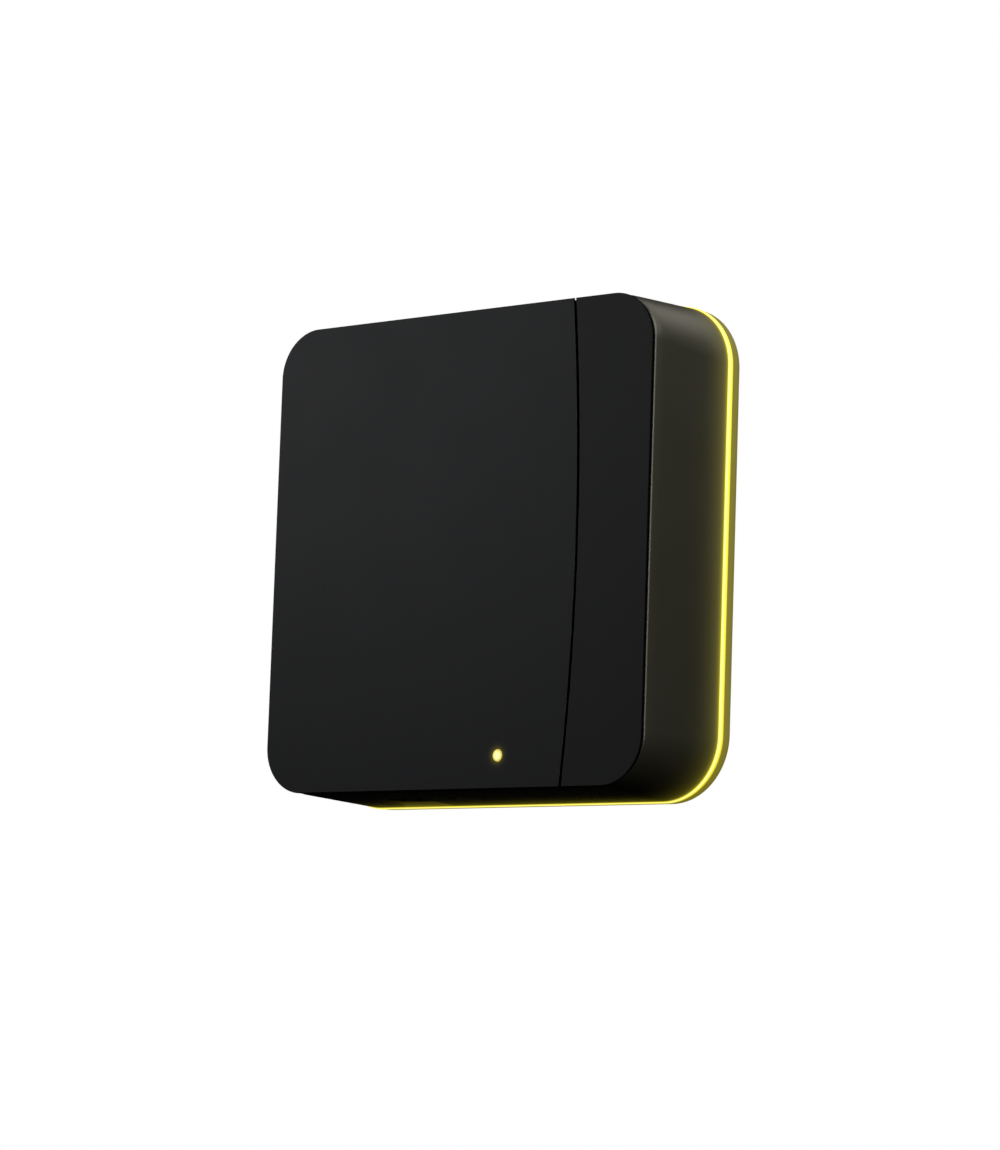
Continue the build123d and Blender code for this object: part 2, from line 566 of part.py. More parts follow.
def housing_inserts():
    return Compound([
        rod(x, y, BOSS_END, BOSS_END + INSERT_LENGTH, INSERT_RADIUS)
        - rod(x, y, 0, DEPTH, SCREW_RADIUS + THREAD_GAP)
        for x, y in corners(BOSS_X, BOSS_Y)
    ])


def small_screws(places, seat):
    return Compound([
        screw(x, y, seat, BOARD_SCREW_RADIUS, BOARD_SCREW_LENGTH - BOARD_SCREW_HEAD,
              BOARD_SCREW_HEAD_RADIUS, BOARD_SCREW_HEAD)
        for x, y in places
    ])


# ================================================================ boards
def board_half_width():
    return half_size(WIDTH, BOARD_BACK, WALL + BOARD_SIDE_GAP)


def board_screw_x():
    return board_half_width() - BOARD_SCREW_X_GAP


def main_board():
    half_x = board_half_width()
    top = half_size(HEIGHT, BOARD_BACK, WALL + BOARD_SIDE_GAP)
    bottom = -half_size(HEIGHT, BOARD_BACK, WALL + BOARD_PORT_GAP)
    board = block(0, (top + bottom) / 2, BOARD_BACK, 2 * half_x, top - bottom, BOARD)
    notch_x = BOSS_X - BOSS_RADIUS - BOARD_NOTCH_GAP
    notch_y = BOSS_Y - BOSS_RADIUS - BOARD_NOTCH_GAP
    for sx in (-1, 1):
        for sy in (-1, 1):
            corner = Pos(sx * (notch_x + WIDTH / 2), sy * (notch_y + HEIGHT / 2), BOARD_BACK + BOARD / 2)
            board -= corner * Box(WIDTH, HEIGHT, 2 * BOARD)
    for x, y in corners(board_screw_x(), BOARD_SCREW_Y):
        board -= rod(x, y, 0, DEPTH, BOARD_SCREW_RADIUS + SCREW_GAP)
    return board


def halo_board_middle():
    """Inset of the halo board's centreline."""
    return GUIDE_REACH + HALO_GAP + HALO_BOARD_BAND / 2


def halo_board():
    outer = GUIDE_REACH + HALO_GAP
    board = flared(HALO_BOARD_LOW, HALO_BOARD_TOP, outer)
    board -= flared(HALO_BOARD_LOW - OVERRUN, HALO_BOARD_TOP + OVERRUN, outer + HALO_BOARD_BAND)
    for x, y in stake_places():
        board -= rod(x, y, 0, DEPTH, STAKE_RADIUS + PIPE_GAP)
    return board


def halo_leds():
    """Side-firing lamps along the inner edge of the light guide."""
    along, deep, tall = HALO_LED
    inset = GUIDE_REACH + 2 * HALO_GAP + deep / 2
    first = -(HALO_LEDS_PER_SIDE - 1) * HALO_LED_SPACING / 2
    reach_x = half_size(WIDTH, HALO_LED_LOW, inset)
    reach_y = half_size(HEIGHT, HALO_LED_LOW, inset)
    lamps = []
    for i in range(HALO_LEDS_PER_SIDE):
        step = first + i * HALO_LED_SPACING
        for sign in (-1, 1):
            lamps.append(block(step, sign * reach_y, HALO_LED_LOW, along, deep, tall))
            lamps.append(block(sign * reach_x, step, HALO_LED_LOW, deep, along, tall))
    return Compound(lamps)


# ================================================================ ports
def network_jack():
    y = jack_face_y() + JACK_LENGTH / 2
    body = Pos(JACK_X, y, BOARD_BACK - JACK_HEIGHT / 2) * Box(JACK_WIDTH, JACK_LENGTH, JACK_HEIGHT)
    mouth_y = jack_face_y() + JACK_MOUTH_DEPTH / 2
    mouth_z = BOARD_BACK - JACK_HEIGHT + JACK_FLOOR + JACK_LATCH_HEIGHT + JACK_MOUTH_HEIGHT / 2
    mouth = Pos(JACK_X, mouth_y - OVERRUN / 2, mouth_z)
    body -= mouth * Box(JACK_MOUTH_WIDTH, JACK_MOUTH_DEPTH + OVERRUN, JACK_MOUTH_HEIGHT)
    latch = Pos(0, 0, -(JACK_MOUTH_HEIGHT + JACK_LATCH_HEIGHT) / 2)
    return body - mouth * latch * Box(JACK_LATCH_WIDTH, JACK_MOUTH_DEPTH + OVERRUN, JACK_LATCH_HEIGHT)


def network_contacts():
    """Eight contact wires that lie along the roof of the jack's mouth."""
    roof = BOARD_BACK - JACK_HEIGHT + JACK_FLOOR + JACK_LATCH_HEIGHT + JACK_MOUTH_HEIGHT
    y = jack_face_y() + JACK_MOUTH_DEPTH - JACK_PIN_LENGTH / 2
    first = JACK_X - (JACK_PINS - 1) * JACK_PIN_PITCH / 2
    return Compound([
        Pos(first + i * JACK_PIN_PITCH, y, roof - JACK_PIN / 2) * Box(JACK_PIN, JACK_PIN_LENGTH, JACK_PIN)
        for i in range(JACK_PINS)
    ])


def slot_bar(width, height, length):
    """A bar along y with a slot-shaped section, its front end at y = 0."""
    return extrude(Rot(90, 0, 0) * SlotOverall(width, height), -length)


def power_inlet():
    place = Pos(INLET_X, jack_face_y(), BOARD_BACK - INLET_HEIGHT / 2)
    inside = slot_bar(INLET_WIDTH - 2 * INLET_WALL, INLET_HEIGHT - 2 * INLET_WALL, INLET_LENGTH)
    return place * (slot_bar(INLET_WIDTH, INLET_HEIGHT, INLET_LENGTH) - Pos(0, -INLET_WALL, 0) * inside)


def inlet_tongue():
    """The contact tongue, from the inlet's closed end towards its mouth."""
    width, height, length = TONGUE
    y = jack_face_y() + INLET_LENGTH - INLET_WALL - length / 2
    return Pos(INLET_X, y, BOARD_BACK - INLET_HEIGHT / 2) * Box(width, length, height)


# ================================================================ buttons
def button_cap(y, radius, proud):
    """A cap with a flange under the bay's floor and a stem down to its switch."""
    flange_top = BAY_FLOOR_BOTTOM - BUTTON_FLANGE_GAP
    top = BAY_FLOOR_TOP + proud
    cap = rod(BAY_X, y, flange_top - BUTTON_FLANGE, top, radius)
    cap = fillet(top_edges(cap, top), BUTTON_ROUND)
    cap += rod(BAY_X, y, flange_top - BUTTON_FLANGE, flange_top, radius + BUTTON_LIP)
    return cap + rod(BAY_X, y, PLUNGER_TOP, flange_top - BUTTON_FLANGE, BUTTON_STEM_RADIUS)


def switch_plunger(y):
    return rod(BAY_X, y, SWITCH_TOP - PLUNGER_INSIDE, PLUNGER_TOP, PLUNGER_RADIUS)


def switch_body(y):
    body = block(BAY_X, y, BOARD_FRONT, SWITCH_SIZE, SWITCH_SIZE, SWITCH_HEIGHT)
    bore_low = SWITCH_TOP - PLUNGER_INSIDE - BUTTON_TRAVEL - PLUNGER_END_GAP
    return body - rod(BAY_X, y, bore_low, SWITCH_TOP + OVERRUN, PLUNGER_RADIUS + PLUNGER_GAP)


# ================================================================ electronics
def shield_can():
    width, height, tall = CAN
    can = block(0, CAN_Y, BOARD_FRONT, width, height, tall)
    return can - block(0, CAN_Y, BOARD_FRONT - CAN_WALL, width - 2 * CAN_WALL, height - 2 * CAN_WALL, tall)


def memory_chips():
    width, height, tall = MEMORY
    return Compound([
        block(MEMORY_X, CHIP_Y + sign * MEMORY_PITCH / 2, BOARD_FRONT, width, height, tall)
        for sign in (-1, 1)
    ])


def chip_pad():
    low = BOARD_FRONT + CHIP[2]
    return block(CHIP_X, CHIP_Y, low, CHIP[0], CHIP[1], CAN_TOP - CAN_WALL - low)


def heat_spreader():
    width, height, tall = SPREADER
    plate = rounded_block(0, 0, SPREADER_BACK, width, height, tall, SPREADER_CORNER)
    for x, y in corners(SPREADER_POST_X, SPREADER_POST_Y):
        plate -= rod(x, y, 0, DEPTH, BOARD_SCREW_RADIUS + SCREW_GAP)
    return plate


def radio(along, out):
    """A radio board under its own small can, its plug towards the wall that it serves."""
    width, length, tall = RADIO
    board = block(along, out, BOARD_FRONT, width, length, RADIO_BOARD)
    can_out = out - (length - RADIO_CAN_LENGTH) / 2 + RADIO_CAN_EDGE
    return board + block(
        along, can_out, BOARD_FRONT + RADIO_BOARD,
        width - 2 * RADIO_CAN_EDGE, RADIO_CAN_LENGTH, tall - RADIO_BOARD,
    )


def aerial(side):
    """A printed aerial on a thin board that stands beside the casing's wall."""
    return Pos(0, aerial_y(side), LEAD_Z) * Box(AERIAL_LENGTH, AERIAL, AERIAL_WIDTH)


def aerial_lead(along, out, side):
    """A thin coaxial lead from the radio's plug to the aerial, with a jog in the middle."""
    start = out + RADIO[1] / 2 - 2 * PLUG_RADIUS
    end = aerial_y(side) - AERIAL / 2
    third = (end - start) / 3
    path = FilletPolyline(
        (along, start, LEAD_Z), (along, start + third, LEAD_Z),
        (along - LEAD_JOG, end - third, LEAD_Z), (along - LEAD_JOG, end, LEAD_Z),
        radius=LEAD_BEND,
    )
    lead = sweep(Plane(origin=path @ 0, z_dir=path % 0) * Circle(LEAD_RADIUS), path=path)
    plug_low = BOARD_FRONT + RADIO_BOARD
    return lead + rod(along, start, plug_low, plug_low + PLUG, PLUG_RADIUS)


def clock_cell():
    top = BOARD_BACK - HOLDER_FLOOR
    return rod(CELL_X, CELL_Y, top - CELL, top, CELL_RADIUS)


def cell_holder():
    low = BOARD_BACK - HOLDER_FLOOR - HOLDER_WALL_HEIGHT
    holder = rod(CELL_X, CELL_Y, low, BOARD_BACK, HOLDER_RADIUS)
    return holder - rod(CELL_X, CELL_Y, 0, BOARD_BACK - HOLDER_FLOOR, CELL_RADIUS + PIPE_GAP)


def power_coil():
    width, height, tall = COIL
    coil = block(COIL_X, COIL_Y, BOARD_BACK - tall, width, height, tall)
    return chamfer(coil.edges().filter_by(Axis.Z), COIL_CHAMFER)


def capacitors():
    return Compound([
        rod(CAPACITOR_X + i * CAPACITOR_PITCH, CAPACITOR_Y, BOARD_BACK - CAPACITOR, BOARD_BACK,
            CAPACITOR_RADIUS)
        for i in range(CAPACITORS)
    ])


def socket_y():
    """The two ribbon sockets face each other at the middle of the halo board's band."""
    return half_size(HEIGHT, HALO_BOARD_TOP, halo_board_middle())


def ribbon_sockets():
    width, deep, tall = SOCKET
    slot = (RIBBON_WIDTH + PIPE_GAP, RIBBON + PIPE_GAP)
    lower = block(0, socket_y(), HALO_BOARD_TOP, width, deep, tall)
    upper = block(0, socket_y(), BOARD_BACK - tall, width, deep, tall)
    cut_low = HALO_BOARD_TOP + tall - RIBBON_INSIDE
    cut = block(0, socket_y(), cut_low, *slot, BOARD_BACK - tall + RIBBON_INSIDE - cut_low)
    return Compound([lower - cut, upper - cut])


def ribbon():
    low = HALO_BOARD_TOP + SOCKET[2] - RIBBON_INSIDE
    high = BOARD_BACK - SOCKET[2] + RIBBON_INSIDE
    return block(0, socket_y(), low, RIBBON_WIDTH, RIBBON, high - low)


# ================================================================ all the pieces
def pieces():
    screw_places = corners(board_screw_x(), BOARD_SCREW_Y)
    post_places = corners(SPREADER_POST_X, SPREADER_POST_Y)
    to_left = Rot(0, 0, 90)    # turns what is laid out for the top wall to the left wall
    return {
        "main_cover": main_cover(),
        "service_cover": service_cover(),
        "cover_magnets": magnets(COVER_BACK + MAGNET_GAP),
        "keeper_magnets": magnets(FRONT_WALL_TOP - MAGNET - MAGNET_GAP),
        "status_light_pipe": status_light_pipe(),
        "housing_shell": housing_shell(),
        "light_guide": light_guide(),
        "back_cover": back_cover(),
        "wall_feet": wall_feet(),
        "wall_bracket": wall_bracket(),
        "hanging_studs": hanging_studs(),
        "housing_screws": housing_screws(),
        "housing_inserts": housing_inserts(),
        "board_screws": small_screws(screw_places, BOARD_BACK),
        "spreader_screws": small_screws(post_places, SPREADER_BACK),
        "main_board": main_board(),
        "halo_board": halo_board(),
        "halo_leds": halo_leds(),
        "network_jack": network_jack(),
        "network_contacts": network_contacts(),
        "power_inlet": power_inlet(),
        "inlet_tongue": inlet_tongue(),
        "pair_button": button_cap(PAIR_Y, PAIR_RADIUS, PAIR_PROUD),
        "pair_switch_plunger": switch_plunger(PAIR_Y),
        "pair_switch": switch_body(PAIR_Y),
        "reset_button": button_cap(RESET_Y, RESET_RADIUS, RESET_PROUD),
        "reset_switch_plunger": switch_plunger(RESET_Y),
        "reset_switch": switch_body(RESET_Y),
        "status_led": block(STATUS_X, STATUS_Y, BOARD_FRONT, *STATUS_LED),
        "shield_can": shield_can(),
        "processor": block(CHIP_X, CHIP_Y, BOARD_FRONT, *CHIP),
        "memory_chips": memory_chips(),
        "chip_pad": chip_pad(),
        "spreader_pad": block(CHIP_X, CHIP_Y, CAN_TOP, PAD_SIDE, PAD_SIDE, PAD_STACK),
        "heat_spreader": heat_spreader(),
        "wifi_radio": to_left * radio(WIFI_ALONG, WIFI_OUT),
        "wifi_aerial": to_left * aerial(WIDTH),
        "wifi_lead": to_left * aerial_lead(WIFI_ALONG, WIFI_OUT, WIDTH),
        "mesh_radio": radio(MESH_ALONG, MESH_OUT),
        "mesh_aerial": aerial(HEIGHT),
        "mesh_lead": aerial_lead(MESH_ALONG, MESH_OUT, HEIGHT),
        "clock_cell": clock_cell(),
        "cell_holder": cell_holder(),
        "power_coil": power_coil(),
        "capacitors": capacitors(),
        "ribbon_sockets": ribbon_sockets(),
        "halo_ribbon": ribbon(),
    }


os.makedirs("parts", exist_ok=True)
for piece_name, piece in pieces().items():
    write_part(piece_name, piece)
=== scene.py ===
"""Looks of a wall-hung smart home hub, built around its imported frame.

Everything is in metres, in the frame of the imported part: +X to the right, +Z up, +Y into the wall.
"""

import json
import math

import bmesh
import bpy
from mathutils import Matrix, Vector

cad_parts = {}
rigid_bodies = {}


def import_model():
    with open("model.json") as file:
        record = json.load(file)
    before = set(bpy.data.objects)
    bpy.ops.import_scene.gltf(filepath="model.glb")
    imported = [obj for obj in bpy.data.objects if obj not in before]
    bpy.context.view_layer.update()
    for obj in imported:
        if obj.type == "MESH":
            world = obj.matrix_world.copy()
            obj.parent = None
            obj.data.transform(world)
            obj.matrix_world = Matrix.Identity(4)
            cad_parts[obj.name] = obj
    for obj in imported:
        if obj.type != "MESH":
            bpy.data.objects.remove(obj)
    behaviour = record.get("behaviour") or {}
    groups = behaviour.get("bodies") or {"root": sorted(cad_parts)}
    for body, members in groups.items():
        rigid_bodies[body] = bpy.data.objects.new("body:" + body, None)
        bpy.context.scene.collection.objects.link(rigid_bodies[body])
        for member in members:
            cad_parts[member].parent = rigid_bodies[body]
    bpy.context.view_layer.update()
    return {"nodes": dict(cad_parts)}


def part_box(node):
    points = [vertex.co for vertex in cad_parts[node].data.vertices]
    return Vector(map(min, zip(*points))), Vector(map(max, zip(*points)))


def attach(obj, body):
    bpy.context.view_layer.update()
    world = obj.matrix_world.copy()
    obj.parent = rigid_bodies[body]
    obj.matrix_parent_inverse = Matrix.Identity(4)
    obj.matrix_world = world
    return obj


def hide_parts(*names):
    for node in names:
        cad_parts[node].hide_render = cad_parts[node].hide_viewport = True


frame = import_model()

bl_info = {
    "name": "Smart home hub",
    "version": (1, 0, 0),
    "blender": (4, 5, 0),
    "location": "3D View > Sidebar > Hub",
    "description": "Builds the covers, casing, lights, sockets and electronics of a wall-hung hub",
    "category": "Add Mesh",
}

MM = 0.001                                # pieces are built in millimetres and scaled at the end
WELD = 0.0005                             # points closer than this are one
SHARP = math.radians(32)                  # faces that meet at more than this stay creased


def box_of(node):
    """A node's lowest and highest corners, in millimetres."""
    low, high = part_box(node)
    return Vector(low) / MM, Vector(high) / MM


RING_LOW, RING_HIGH = box_of("light_guide")
PIPE_LOW, PIPE_HIGH = box_of("status_light_pipe")
FACE_LOW, _ = box_of("main_cover")
HOUSING_LOW, _ = box_of("housing_shell")
_, BACK_HIGH = box_of("back_cover")

# the casing's outside, as the frame has it
DEPTH = -FACE_LOW.y                       # wall to the covers' face
HALF_FACE, FLARE = 60.0, 1.93             # half the face's side, and what the wall end adds to it
FLARE_RATE = FLARE / DEPTH
CORNER_FACE, CORNER_WALL = 12.0, 16.8     # corner radius at the face and at the wall
CORNER_RATE = (CORNER_WALL - CORNER_FACE) / DEPTH
CURL_LENGTH, CURL = 4.0, 0.35             # how the sides curl in before the rim
RIM_ROUND, COVER_ROUND, BACK_ROUND, RING_ROUND = 1.0, 0.2, 0.5, 0.25
RING_MIDDLE = (RING_LOW.y + RING_HIGH.y) / 2
RING_HALF = (RING_HIGH.y - RING_LOW.y) / 2   # half its width
RING_PROUD = 0.25                         # how far the ring stands out of the casing
PIPE_RADIUS = 1.55                        # the status light's
NEAR = 0.1                                # slack in telling whether a point is on the skin
EDGE_LIT = 0.6                            # the ring's painted light falls this far in from the outline
HALO_REACH = 0.5                          # the painted bright line beside the ring fades to a third over this

# the parts inside
PIN_MARK = [(0, -0.02), (0.55, -0.02), (0.55, 0.03), (0.42, 0.03), (0.36, 0), (0, 0)]
TRACK_CELLS, TRACKS = 420.0, 7            # cells in a metre, and a copper track's turns in each
SMALL_PART = (1.6, 0.8, 0.5)              # chip resistors and capacitors: length, width, height
SMALL_CHIP = (3.9, 1.4, 5.0)              # the power chips: width, height, length
BALLS, BALL_PITCH = 16, 0.9               # solder balls along one side of the processor
SPREADER_RIBS = 11
TEST_PADS = 10                            # in a row on the main board's front
TONGUE_PADS, TONGUE_PITCH = 12, 0.5
CASING_SCREW = {"radius": 1.5, "head_radius": 2.75, "head": 1.8, "drive": 1.3}
BOARD_SCREW = {"radius": 1.25, "head_radius": 2.3, "head": 1.4, "drive": 1.1}
KNURLS = 30                               # teeth round an insert
INSERT_BORE = 1.52
THREAD_PITCH = 0.6
MAGNET_ROUND = 0.12
FOOT_GROOVES = (1.4, 3.4)                 # radii at which a foot's grooves begin
GROOVE = [(0, 0), (0.2, 0.25), (0.6, 0.25), (0.8, 0)]
SOCKET_LEGS = 14
CAPACITOR_BASE = 0.9                      # height
RADIO_BOARD = 0.8                         # thickness
AERIAL_RUNS, AERIAL_TRACE, AERIAL_SWING = 9, 36.0, 5.6   # meanders, their whole length and their width
SHIELD_SKIN, SHIELD_SHEET = 0.3, 0.22     # room for the jack's shield, and its sheet

FLOOR_RADIUS = 1.6                        # metres
SENSOR = 36                               # the camera's, in millimetres


# ------------------------------------------------------------------------------ sizes and colours
def colour_setting(name, description, default):
    return bpy.props.FloatVectorProperty(
        name=name, description=description, subtype="COLOR", size=3, min=0, max=1, default=default)


def length_setting(name, description, millimetres, least=0.1):
    return bpy.props.FloatProperty(
        name=name, description=description, subtype="DISTANCE", unit="LENGTH", min=least * MM,
        default=millimetres * MM)


def strength_setting(name, description, default):
    return bpy.props.FloatProperty(
        name=name, description=description, subtype="FACTOR", min=0, default=default)


def angle_setting(name, description, degrees):
    return bpy.props.FloatProperty(
        name=name, description=description, subtype="ANGLE", unit="ROTATION", default=math.radians(degrees))


class HubColours(bpy.types.PropertyGroup):
    """Colours of the mouldings and the lights."""

    main_cover: colour_setting(
        "Main cover", "Satin black of the wide front cover", (0.0150, 0.0152, 0.0182))
    service_cover: colour_setting(
        "Service cover", "Neutral black of the narrow front cover", (0.0095, 0.0092, 0.0090))
    housing: colour_setting(
        "Housing", "Warm dark grey of the housing and the back cover", (0.0190, 0.0180, 0.0125))
    light_core: colour_setting(
        "Light core", "Colour at the middle of the ring of light", (1.0, 0.97, 0.38))
    light_middle: colour_setting(
        "Light middle", "Colour between the ring's core and its edges", (0.78, 0.68, 0.045))
    light_edge: colour_setting(
        "Light edge", "Colour at the edges of the ring of light", (0.36, 0.27, 0.008))
    # the colour in which the ring's light is painted on the casing
    glow: colour_setting(
        "Glow", "Colour of the light that the ring throws on the casing", (1.0, 0.86, 0.06))


class HubGlow(bpy.types.PropertyGroup):
    """How far and how strongly the lights glow, and the ring's light painted on the housing and the back
    cover.
    """

    ring_strength: strength_setting("Ring", "Brightness of the ring of light", 1.25)
    halo_strength: strength_setting("Halo", "Bright line on the housing right beside the ring", 0.30)
    housing_strength: strength_setting("Housing", "Glow on the housing beside the ring", 0.10)
    housing_reach: length_setting(
        "Housing reach", "Distance over which the housing's glow fades to a third", 3.2)
    back_strength: strength_setting("Back cover", "Glow on the back cover's edge", 0.21)
    back_reach: length_setting(
        "Back cover reach", "Distance over which the back cover's glow fades to a third", 9.0)
    status_strength: strength_setting("Status light", "Brightness of the status light", 1.3)


class HubInside(bpy.types.PropertyGroup):
    """Colours and sizes of the parts that the casing hides."""

    buttons: colour_setting("Buttons", "Grey of the two button caps", (0.15, 0.15, 0.15))
    plungers: colour_setting("Plungers", "Colour of the switches' plungers", (0.35, 0.03, 0.02))
    board_mask: colour_setting("Board mask", "Solder mask of the main board", (0.010, 0.075, 0.032))
    aerials: colour_setting(
        "Aerial mask", "Solder mask of the radio modules and the aerials", (0.012, 0.035, 0.13))
    gap_pads: colour_setting("Gap pads", "Colour of the soft thermal pads", (0.20, 0.34, 0.50))
    pair_radius: length_setting("Pairing button", "Radius of the pairing button's cap", 4.5, 1.0)
    reset_radius: length_setting("Reset button", "Radius of the reset button's cap", 2.2, 1.0)
    dish: length_setting("Dish", "Depth of the hollow in a button's top", 0.35, 0.0)


class HubStage(bpy.types.PropertyGroup):
    """Camera, floor and lights."""

    azimuth: angle_setting(
        "Azimuth", "Camera's way round the hub, from straight in front to its right", 39.15)
    elevation: angle_setting("Elevation", "Camera's height above the hub, as an angle", -7.28)
    roll: angle_setting("Roll", "Camera's lean about its own line of sight", 1.955)
    distance: length_setting("Distance", "Camera to the point it looks at", 992.0, 100.0)
    lens: bpy.props.FloatProperty(
        name="Lens", description="Focal length on a 36 mm sensor", unit="CAMERA", min=10, default=123.4)
    aim: bpy.props.FloatVectorProperty(
        name="Aim", description="Point that the camera looks at", subtype="XYZ", unit="LENGTH",
        size=3, default=(1.3 * MM, -17.5 * MM, -4.6 * MM))
    floor_drop: length_setting("Floor", "Distance from the hub's middle down to the floor", 340.0, 100.0)


# ------------------------------------------------------------------------------ shader writing
class Value:
    """One output of a shader node, for use in ordinary expressions."""

    def __init__(self, finish, socket):
        self.finish = finish
        self.socket = socket

    def math(self, operation, *others):
        return self.finish.node("ShaderNodeMath", {"operation": operation}, [self, *others])

    def __add__(self, other):
        return self.math("ADD", other)

    def __sub__(self, other):
        return self.math("SUBTRACT", other)

    def __mul__(self, other):
        return self.math("MULTIPLY", other)

    def __truediv__(self, other):
        return self.math("DIVIDE", other)

    def __radd__(self, other):
        return self + other

    def __rmul__(self, other):
        return self * other

    def __rsub__(self, other):
        return self.finish.node("ShaderNodeMath", {"operation": "SUBTRACT"}, [other, self])

    def __rtruediv__(self, other):
        return self.finish.node("ShaderNodeMath", {"operation": "DIVIDE"}, [other, self])

    def __gt__(self, other):
        return self.math("GREATER_THAN", other)

    def __lt__(self, other):
        return self.math("LESS_THAN", other)

    def size(self):
        return self.math("ABSOLUTE")

    def decay(self):
        """e to the power of minus this value."""
        return (0 - self).math("EXPONENT")

    def clamp(self):
        return self.math("MINIMUM", 1).math("MAXIMUM", 0)


class Finish:
    """A material under construction: one Principled shader and the nodes that feed it."""

    def __init__(self, name, **constants):
        self.material = bpy.data.materials.new(name)
        self.material.use_nodes = True
        self.tree = self.material.node_tree
        self.shader = self.tree.nodes["Principled BSDF"]
        for socket, value in constants.items():
            self.set(socket.replace("_", " "), value)

    def feed(self, target, value):
        """Gives a socket a number or a colour, or links a value to it."""
        if isinstance(value, Value):
            self.tree.links.new(value.socket, target)
        elif target.type == "RGBA" and len(value) == 3:
            target.default_value = (*value, 1)
        else:
            target.default_value = value

    def set(self, socket, value):
        """Feeds a socket of the shader."""
        self.feed(self.shader.inputs[socket], value)

    def node(self, kind, settings=None, inputs=(), output=0):
        """Adds a node; inputs is a list in the order of its sockets, or a dict by name or number."""
        made = self.tree.nodes.new(kind)
        for key, value in (settings or {}).items():
            setattr(made, key, value)
        for key, value in inputs.items() if isinstance(inputs, dict) else enumerate(inputs):
            self.feed(made.inputs[key], value)
        return Value(self, made.outputs[output])

    def place(self):
        """Object coordinates, which are the part's own frame in metres."""
        return self.node("ShaderNodeTexCoord", output="Object")

    def axes(self):
        """x, y and z of the object coordinates, in millimetres."""
        split = self.place()
        parts = self.node("ShaderNodeSeparateXYZ", inputs=[split]).socket.node
        return [Value(self, parts.outputs[i]) * 1000 for i in range(3)]

    def off_axis(self, centre):
        """Distance from an axis along y, in millimetres."""
        x, _, z = self.axes()
        across, up = x - centre.x, z - centre.z
        return (across * across + up * up).math("SQRT")

    def stretched(self, stretch):
        """Object coordinates, stretched along each axis."""
        return self.node("ShaderNodeVectorMath", {"operation": "MULTIPLY"}, [self.place(), stretch])

    def noise(self, size, detail=2.0, stretch=(1, 1, 1)):
        """Noise from 0 to 1 with features of about the given size, in metres."""
        return self.node("ShaderNodeTexNoise",
                         inputs={"Vector": self.stretched(stretch), "Scale": 1 / size, "Detail": detail})

    def mix(self, factor, a, b):
        """Blends two colours."""
        return self.node("ShaderNodeMix", {"data_type": "RGBA"}, {0: factor, 6: a, 7: b}, output=2)

    def tint(self, colour, amount):
        """A colour multiplied by a value."""
        return self.node("ShaderNodeVectorMath", {"operation": "SCALE"},
                         {"Vector": colour, "Scale": amount})

    def bump(self, height, strength, distance):
        """Dents the surface by a value; distance is in metres."""
        made = self.node("ShaderNodeBump",
                         inputs={"Strength": strength, "Distance": distance, "Height": height})
        self.set("Normal", made)


def shade(colour, factor):
    """A colour made darker or lighter."""
    return tuple(min(1, channel * factor) for channel in colour)


# ------------------------------------------------------------------------------ finishes
def moulded(name, colour, roughness=0.42, grain=0.12 * MM, grain_depth=0.25, painted_light=None, **constants):
    """Satin moulded plastic: fine spark-eroded grain, faint flow marks and a slightly uneven sheen.

    The optional function after the colour says, from the finish, where the ring's yellow light is painted on:
    there the base colour is blended to a darker yellow and made matt.
    """
    finish = Finish(name, **constants)
    fine = finish.noise(grain, detail=1.0)
    broad = finish.noise(18 * MM, detail=2.0)
    base = finish.mix(fine * 0.6 + broad * 0.4, shade(colour, 0.88), shade(colour, 1.14))
    sheen = roughness + (broad - 0.5) * 0.06 + (fine - 0.5) * 0.10
    if painted_light:
        # painted light: the base is blended towards the colour that the ring's light is painted in, and made
        # matt
        where, dark = painted_light(finish)
        base = finish.mix(where, base, dark)
        sheen = sheen + where * (0.95 - roughness)
    finish.set("Base Color", base)
    finish.set("Roughness", sheen)
    finish.bump(fine, grain_depth, 0.01 * MM)
    return finish


def cover_edge_shade(finish):
    """Where shade is painted on a cover: 1 on its edge and 0 on its face."""
    _, y, _ = finish.axes()
    return ((y + DEPTH - 0.03) / 0.04).clamp()


def paint_gap_shade(finish, shade_mask):
    """Painted shade in the gap round the covers: where the mask is 1, the plastic is painted matt black that
    doesn't shine, in place of the gap's shadow.
    """
    matt = finish.node("ShaderNodeBsdfPrincipled", inputs={
        "Base Color": (0.002, 0.002, 0.002), "Roughness": 0.9, "Specular IOR Level": 0.0})
    both = finish.node("ShaderNodeMixShader", inputs=[shade_mask, Value(finish, finish.shader.outputs[0]), matt])
    finish.tree.links.new(both.socket, finish.tree.nodes["Material Output"].inputs["Surface"])


def painted_ring_tone(finish):
    """Painted light on the casing close to the ring: a darker, yellower, matt tone that stands in for the
    ring's light drowning the plastic's own colour.
    """
    _, y, _ = finish.axes()
    away = (y - RING_MIDDLE).size() - RING_HALF
    return (away.math("MAXIMUM", 0) / 3.0).decay() * 0.8, (0.016, 0.014, 0.0005)


def painted_ring_glow(finish, strength, reach, halo):
    """Painted light from the ring on the casing, given as emission: a bright line beside it, and a wash that
    fades slowly.
    """
    colours = bpy.context.scene.hub_colours
    x, y, z = finish.axes()
    straight = RING_HIGH.x - CORNER_WALL
    right = (x.size() - straight).math("MAXIMUM", 0)
    up = (z.size() - straight).math("MAXIMUM", 0)
    inset = (CORNER_WALL - (right * right + up * up).math("SQRT") - EDGE_LIT).math("MAXIMUM", 0)
    away = ((y - RING_MIDDLE).size() - RING_HALF).math("MAXIMUM", 0) + inset * 3
    amount = (away / (reach / MM)).decay() * strength + (away / HALO_REACH).decay() * halo
    finish.set("Emission Color", finish.tint(tuple(colours.glow), amount))
    finish.set("Emission Strength", 1.0)


